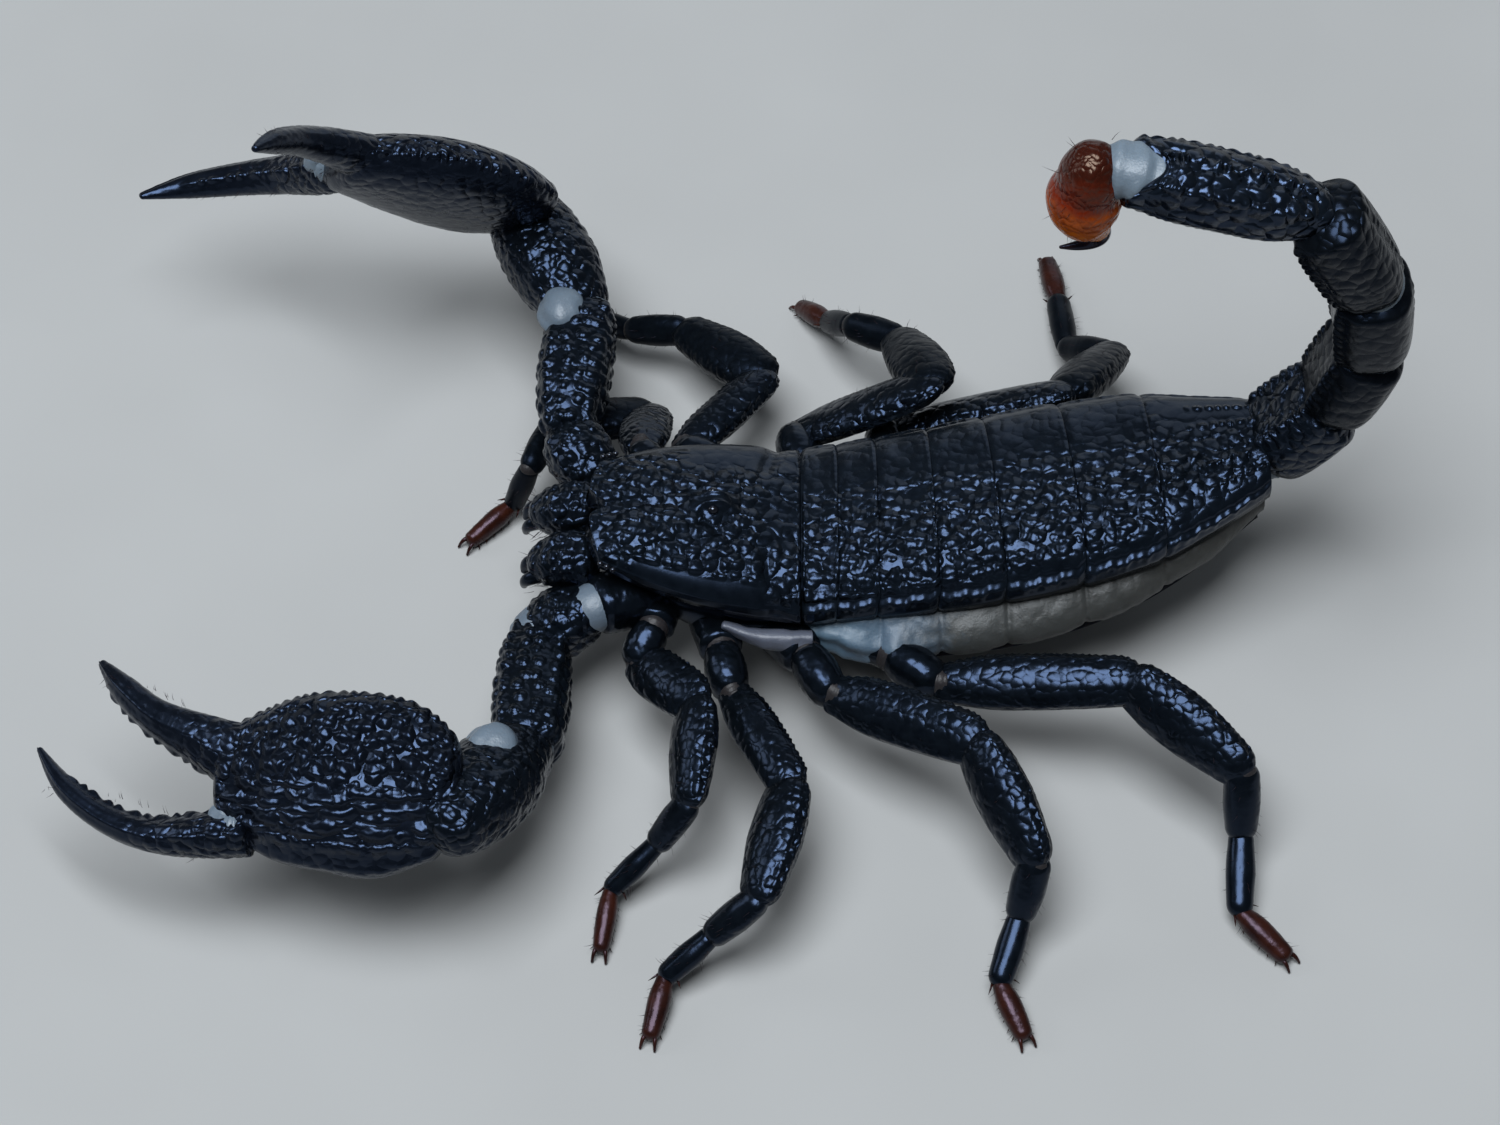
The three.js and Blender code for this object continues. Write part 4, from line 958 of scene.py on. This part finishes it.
def buildArm(side):
    a = armSettings
    root = mirrored(a["root"], side)
    shoulder, elbowIn, elbow, wrist = jointsAlong(mirrored(a["end"], side), a["lengths"], a[side])
    along, inner, back = handFrame(side)
    inHand = lambda x, y, z: wrist + along * x + inner * y + back * z
    seed = 40 if side == "left" else 60
    label = f"pedipalp_{side}"
    joints = [shoulder, elbowIn, elbow, wrist]
    for i, (name, segment) in enumerate(a["segments"].items()):
        shell = limbPart(joints[i], joints[i + 1], np.array(segment["wide"]) * a["halfWidths"][i],
                         np.array(segment["high"]) * a["halfHeights"][i], zUp, *segment["mesh"],
                         tubercleRelief(seed + i, *segment["knobs"]), segment["over"], allGrit(segment["grit"]))
        makePiece(f"{label}_{name}Shell", shell, limbFinish, [f"{label}_{name}"])

    def handPart(name, place, rings, around, square, relief, marks, ends=(0.04, 0.02)):
        knots = [place(*knot) for knot in handSettings[name + "Knots"]]
        return curvedPart(knots, handSettings[name + "Widths"], handSettings[name + "Depths"], back,
                          rings, around, square, relief, marks, ends)

    def handRelief(grid, s, angle):
        margin = crest(angle, innerAngle, 9) * (0.05 + 0.26 * teeth(s, 1.0, 0.3)) * ease(0.8, 2.5, s)
        keels = 0.2 * crest(angle, -innerAngle + 20, 6) * teeth(s, 1.1, 0.7)
        keels = keels + 0.16 * crest(angle, -innerAngle - 24, 7)
        return margin + keels + 0.10 * waver(grid, 3.2, seed) + 0.04 * grains(grid, 1.0, seed + 3)

    def fixedRelief(grid, s, angle):
        bite = crest(angle, -innerAngle, 12) * ease(7, 9, s) * (0.10 + 0.34 * teeth(s, 1.6, 0.1)) * ease(24, 20, s)
        return bite + 0.12 * crest(angle, 0, 10) + 0.05 * grains(grid, 0.9, seed + 5)

    def handMarks(grid, s, angle):
        dorsal = ease(-0.3, 0.3, np.cos(angle))
        across = np.sin(angle) * (1 if innerAngle > 0 else -1)  # 1 at the inner edge of the palm
        lines = ease(0.15, -0.15, across)
        outer = ease(-0.78, -0.55, across)
        ridge = dorsal * lines * outer + 0 * s
        return {"grit": (0.22 + 0.78 * dorsal * outer) * (1 - lines * outer) + 0 * s, "ridge": ridge}

    # the inner edge of the palm lies at +90 or -90 degrees round the sweep
    sideways = np.cross(back, along)
    innerAngle = 90 if np.dot(sideways, inner) > 0 else -90
    palm = handPart("palm", inHand, 220, 210, 2.2, handRelief, handMarks, (0.09, 0.07))
    fixed = handPart("fixed", inHand, 200, 110, 2.0, fixedRelief,
                     lambda grid, s, a: {"grit": 0.75 * ease(16, 2, s) + 0 * a})
    makePiece(f"{label}_handShell", joined([palm, fixed]), clawFinish, [f"{label}_hand"])

    opening = math.radians(handSettings[side]["opening"])
    fx, fy, fz = handSettings["fingerRoot"]
    inFinger = lambda x, y, z: inHand(fx + x * math.cos(opening) - y * math.sin(opening),
                                      fy + x * math.sin(opening) + y * math.cos(opening), fz + z)
    reach = handSettings["fingerReach"]

    def fingerRelief(grid, s, angle):
        bite = crest(angle, innerAngle, 12) * (0.10 + 0.36 * teeth(s, 1.6, 0.4)) * ease(2, 5, s) * ease(22, 18, s)
        keels = 0.2 * crest(angle, -innerAngle + 40, 9) * teeth(s, 1.2, 0.2) + 0.16 * crest(angle, 0, 10)
        return bite + keels + grains(grid, 0.9, seed + 8) * 0.12 * ease(16, 2, s) + grains(grid, 0.5, seed) * 0.03

    finger = handPart("finger", inFinger, 170, 90, 2.1, fingerRelief,
                      lambda grid, s, a: {"grit": 0.6 * ease(16, 3, s) + 0 * a})
    makePiece(f"{label}_fingerShell", finger, clawFinish, [f"{label}_finger"])

    pouch = lambda place, radii, seed: wrinkled(ballPart(place, radii, None, 50, 60), place, seed)
    thick = 1.0 if side == "left" else 0.74  # the right shoulder is turned so that its skin is folded away
    makeSkin(f"{label}_shoulderSkin", [
        jointSkinPart(root, shoulder, elbowIn, 2.5 * thick, 2.4 * thick, zUp, 1.1),
        jointSkinPart(shoulder, elbowIn, elbow, 2.9 * thick, 2.7 * thick, zUp, 1.1),
    ], jointSkinFinish if side == "left" else legSkinFinish)
    skins = [
        jointSkinPart(elbowIn, elbow, wrist, 2.7, 2.5, zUp, 0.8),
        pouch(elbow + armSettings["elbowPatch"][side], armSettings["patchRadii"][side], 5),
        jointSkinPart(inHand(14, 0.4, 0.2), inFinger(-0.5, 0.5, 0.3), inFinger(5, -0.6, 0.5), 1.9, 2.1, back, 0.6),
        pouch(inFinger(0.9, 1.3, 0.9), (1.4, 1.3, 1.3), 9),
    ]
    makeSkin(f"{label}_jointSkin", skins, jointSkinFinish)
    hairs = []
    for _ in range(bristleCounts["claw"]):
        t = random.random()
        turn = random.uniform(0, 2 * math.pi)
        out = math.cos(turn) * back + math.sin(turn) * inner
        place = inFinger(reach * (0.1 + 0.8 * t), -2.2, 0.4) + out * (1.9 - 1.2 * t)
        hairs.append(bristlePart(place, out + along * 0.6, random.uniform(0.4, 0.9), 0.03))
        place = inHand(24 + 11 * t, 7.2 + 5.8 * t, -0.3) + out * (1.9 - 1.2 * t)
        hairs.append(bristlePart(place, out + along * 0.6, random.uniform(0.4, 0.9), 0.03))
    makeBristles(f"{label}_bristles", hairs)


for side in sides:
    buildArm(side)
print("claw arms made")


# underside of the fore body: coxae and breast plates
coreSettings = dict(
    front=(-18.6, 0, -3.4), rear=(-0.4, 0, -3.6), halfWidths=[4.6, 8.6, 9.0], halfHeights=[2.6, 3.1, 3.3],
    breastPlates=[[(-4.2, 0, 6.0), (2.0, 1.7, 1.0)], [(-1.0, 0, 5.9), (1.5, 2.6, 0.9)]],
)


def buildCoxae():
    s = coreSettings
    parts = []
    front = onForeBody(*s["front"])
    rear = np.array(s["rear"]) + [0, 0, marginHeight]
    t = np.linspace(0, 1, 40)
    core, _ = sweep(front + t[:, None] * (rear - front), smoothThrough(s["halfWidths"], t),
                    smoothThrough(s["halfHeights"], t), zUp, 60, 3.0)
    parts.append((core + outward(core) * (0.15 * waver(core, 2.0, 5))[..., None], ringFaces(40, 60)))
    for side in sides:
        for index, leg in enumerate(legSettings):
            k = leg["size"]
            tip = 2.1 * k if index < 3 else 1.6
            parts.append(limbPart(
                mirrored(leg["root"], side), mirrored(leg["end"], side), [1.9 * k, 2.35 * k, tip],
                [2.0 * k, 2.4 * k, tip], zUp, 60, 48, 2.4, smoothRelief(index + 70, 0.07), (0.5, 0.2)))
        parts.append(limbPart(
            mirrored(armSettings["root"], side), mirrored(armSettings["end"], side), [2.6, 3.2, 2.8],
            [2.4, 2.9, 2.6], zUp, 70, 60, 2.4, smoothRelief(77, 0.12), (0.5, 0.3)))
    for middle, radii in s["breastPlates"]:
        parts.append(ballPart(middle, radii, None, 30, 40))
    makePiece("coxaShells", joined(parts), limbFinish, ["prosoma_base"])


jawSettings = dict(
    root=(-20.6, 2.95), below=2.7, reach=5.6, halfWidths=[2.5, 2.8, 2.6, 2.0], halfHeights=[2.2, 2.55, 2.4, 1.7],
)


def buildJaws():
    j = jawSettings
    for side, sign in sides.items():
        edge = onForeBody(j["root"][0], sign * j["root"][1], 0)
        start = edge + [-0.2, 0, -j["below"]]
        tip = start + [-j["reach"], sign * 0.1, -0.9]
        jaw = limbPart(start, tip, j["halfWidths"], j["halfHeights"], zUp, 90, 80, 2.4,
                       tubercleRelief(80 + sign, 1.1, 0.16, (30, -30)), (0.3, 0.6), allGrit(0.7))
        parts = [jaw]
        for out in (sign * 1.1, -sign * 0.7):
            base = tip + [0.6, out, -0.4]
            parts.append(clawPart(base, base + [-2.0, out * 0.3, -0.2], base + [-1.9, -out * 0.1, -1.9], 0.75))
        makePiece(f"jaw_{side}", joined(parts), limbFinish, [f"chelicera_{side}"])
        hairs = []
        for _ in range(bristleCounts["jaw"]):
            place = tip + [random.uniform(-0.6, 2.5), sign * random.uniform(-1.9, 1.9), random.uniform(-2.2, 1.2)]
            heading = [-1, random.uniform(-0.6, 0.6), random.uniform(-0.9, 0.5)]
            hairs.append(bristlePart(place, heading, random.uniform(0.8, 1.8), 0.035))
        makeBristles(f"jawBristles_{side}", hairs)


buildCoxae()
buildJaws()
print("underside and jaws made")

# tail
tailSettings = dict(
    base=[46.0, 8.4, 17.5], lengths=[8.9, 9.9, 10.9, 12.7, 18.6],
    pose=[[3, 51], [-14, 74], [-134, 80], [-170, 62], [174, 12]],
    halfWidths=[4.9, 4.6, 4.4, 4.1, 3.5], halfHeights=[3.9, 3.75, 3.8, 3.7, 3.2],
    rootShares=[0.88, 0.88, 0.88, 0.88, 0.66], tipShares=[0.95, 0.95, 0.95, 0.95, 0.86],
    grit=[0.75, 0.25, 0.15, 0.40, 0.95], rings=140, around=130,
    bayAt=-158, bayWidth=46, bayDepth=2.7,
    bulbPath=[[-1.65, -0.1, 2.3], [-2.75, -0.1, 0.9], [-3.35, -0.1, -1.2], [-3.65, 0, -3.6], [-3.25, 0, -5.8],
              [-2.45, 0, -7.5], [-1.95, 0, -8.6]],
    bulbWidths=[1.2, 2.8, 3.3, 3.5, 3.1, 1.9, 1.1], bulbDepths=[1.2, 2.6, 3.2, 3.45, 3.0, 1.8, 1.05],
    stingPath=[[-2.15, 0, -7.3], [-1.75, 0, -8.6], [-1.95, 0, -9.5], [-2.75, 0, -10.2], [-4.05, 0, -10.6],
               [-5.45, 0, -10.8]],
    stingRadii=[1.1, 0.95, 0.78, 0.6, 0.42, 0.14],
)


def tailRelief(index, length):
    last = index == 4

    def relief(grid, s, a):
        inside = ease(0.3, 1.2, s) * ease(length - 0.1, length - 0.9, s)
        above = sum(crest(a, place, 7) for place in (34, -34))
        sides = sum(crest(a, place, 7) for place in (66, -66))
        below = sum(crest(a, place, 7) for place in ((128, -128, 180) if last else (118, -118, 160, -160)))
        if last:  # one row of sharp spines below, low blunt rows beside it
            spines = 0.75 * crest(a, 180, 6) * teeth(s, 1.35, 0.7)**3
            rows = spines + sum(crest(a, place, 8) for place in (128, -128)) * (0.10 + 0.22 * teeth(s, 1.2, 0.2))
            rows = rows + 0.14 * sum(crest(a, place, 8) for place in (34, -34)) * (0.5 + teeth(s, 0.9, 0.5))
        else:
            rows = above * (0.16 + 0.34 * teeth(s, 1.05, index)) + sides * 0.05
            rows = rows + below * 0.05 + 0.2 * crest(a, 180, 8) * teeth(s, 1.3, index + 0.2)
        rough = grains(grid, 0.8, 90 + index) * 0.02 + 0.03 * waver(grid, 1.6, index)
        rim = 0.16 * bell(s - length, -0.35, 0.4)
        trough = -0.22 * crest(a, 0, 20)
        return (rows + rough + trough) * inside + rim
    return relief


def buildTail():
    s = tailSettings
    joints = jointsAlong(s["base"], s["lengths"], s["pose"])
    aims = [headed(*pose) for pose in s["pose"]]
    ups = [unit(np.cross(aimed, [0, 1, 0])) for aimed in aims]
    rings, around = s["rings"], s["around"]
    # segments II to IV take the painted-shade copy of the shell, the last segment the copy with painted highlights
    finishes = [plateFinish, shadedTailFinish, shadedTailFinish, shadedTailFinish, highlightTailFinish]
    skins = []
    for i in range(5):
        w, h = s["halfWidths"][i], s["halfHeights"][i]
        first, last = s["rootShares"][i], s["tipShares"][i]
        shell = limbPart(joints[i], joints[i + 1], [w * first, w * (0.85 + 0.15 * first), w, w * 0.98, w * last],
                         [h * first, h * (0.8 + 0.2 * first), h, h, h * last], ups[i], rings, around, 2.7,
                         tailRelief(i, s["lengths"][i]), (0.6, 0.30), allGrit(s["grit"][i]))
        if i == 4:  # the rim of the last segment is cut back at the sides, where the socket skin shows
            grid = shell[0].reshape(rings, around, 3)
            s5 = (grid - joints[4]) @ aims[4]
            bay = crest(np.arange(around) * 2 * math.pi / around, s["bayAt"], s["bayWidth"])
            grid -= aims[4] * (s["bayDepth"] * bay * ease(s["lengths"][4] - 5.0, s["lengths"][4], s5))[..., None]
        makePiece(f"tailSegment_{i + 1}", shell, finishes[i], [f"metasoma_{i + 1}"])
        before = joints[i - 1] if i else np.array([40.0, 7.0, 16.0])
        if i < 4:
            skins.append(jointSkinPart(before, joints[i], joints[i + 1], w * 0.80, h * 0.80, ups[i], 0.5))
    end = joints[5]
    knots = np.array([end + offset for offset in np.array(s["bulbPath"])])
    wrinkles = lambda grid, along, a: (
        0.10 * np.sin(along * 3.6 + 1.6 * waver(grid, 2.2, 5)) + 0.08 * waver(grid, 0.9, 3))
    neckKnots = [end - aims[4] * 4.8, end - aims[4] * 2.4, end + aims[4] * 0.2, end + aims[4] * 2.2 + [0, 0, -0.3]]
    skins.append(curvedPart(
        neckKnots, [2.9, 3.0, 2.8, 2.1], [2.6, 2.65, 2.5, 2.0], ups[4], 80, 70, 2.2, wrinkles))
    makeSkin("tailJointSkin", skins, jointSkinFinish)

    def bulbRelief(grid, along, a):
        lower = ease(-0.2, 0.9, np.cos(a))
        waist = -0.30 * bell(along, 4.6, 0.9)
        return grains(grid, 0.9, 120) * 0.10 * lower + 0.05 * waver(grid, 1.6, 7) + waist

    bulb = curvedPart(knots, s["bulbWidths"], s["bulbDepths"], [1, 0, 0], 110, 90, 2.0, bulbRelief)
    makePiece("stingBulb", bulb, bulbFinish, ["telson"])
    stingKnots = [end + np.array(offset) for offset in s["stingPath"]]
    sting = curvedPart(stingKnots, s["stingRadii"], s["stingRadii"], [0, 1, 0], 60, 30)
    makePiece("stingPoint", sting, stingFinish, ["sting"])
    hairs = []
    for _ in range(bristleCounts["bulb"]):
        t = random.uniform(0.1, 0.9)
        middle = smoothThrough(knots, np.array([t]))[0]
        out = unit(np.array([random.uniform(-1, 0.5), random.uniform(-1, 1), random.uniform(-1, 1)]))
        radius = 3.5 * math.sin(math.pi * min(t + 0.1, 1))
        hairs.append(bristlePart(middle + out * radius * 0.95, out + [0, 0, -0.3], random.uniform(0.8, 1.7), 0.035))
    makeBristles("tailBristles", hairs)


buildTail()
print("tail made")
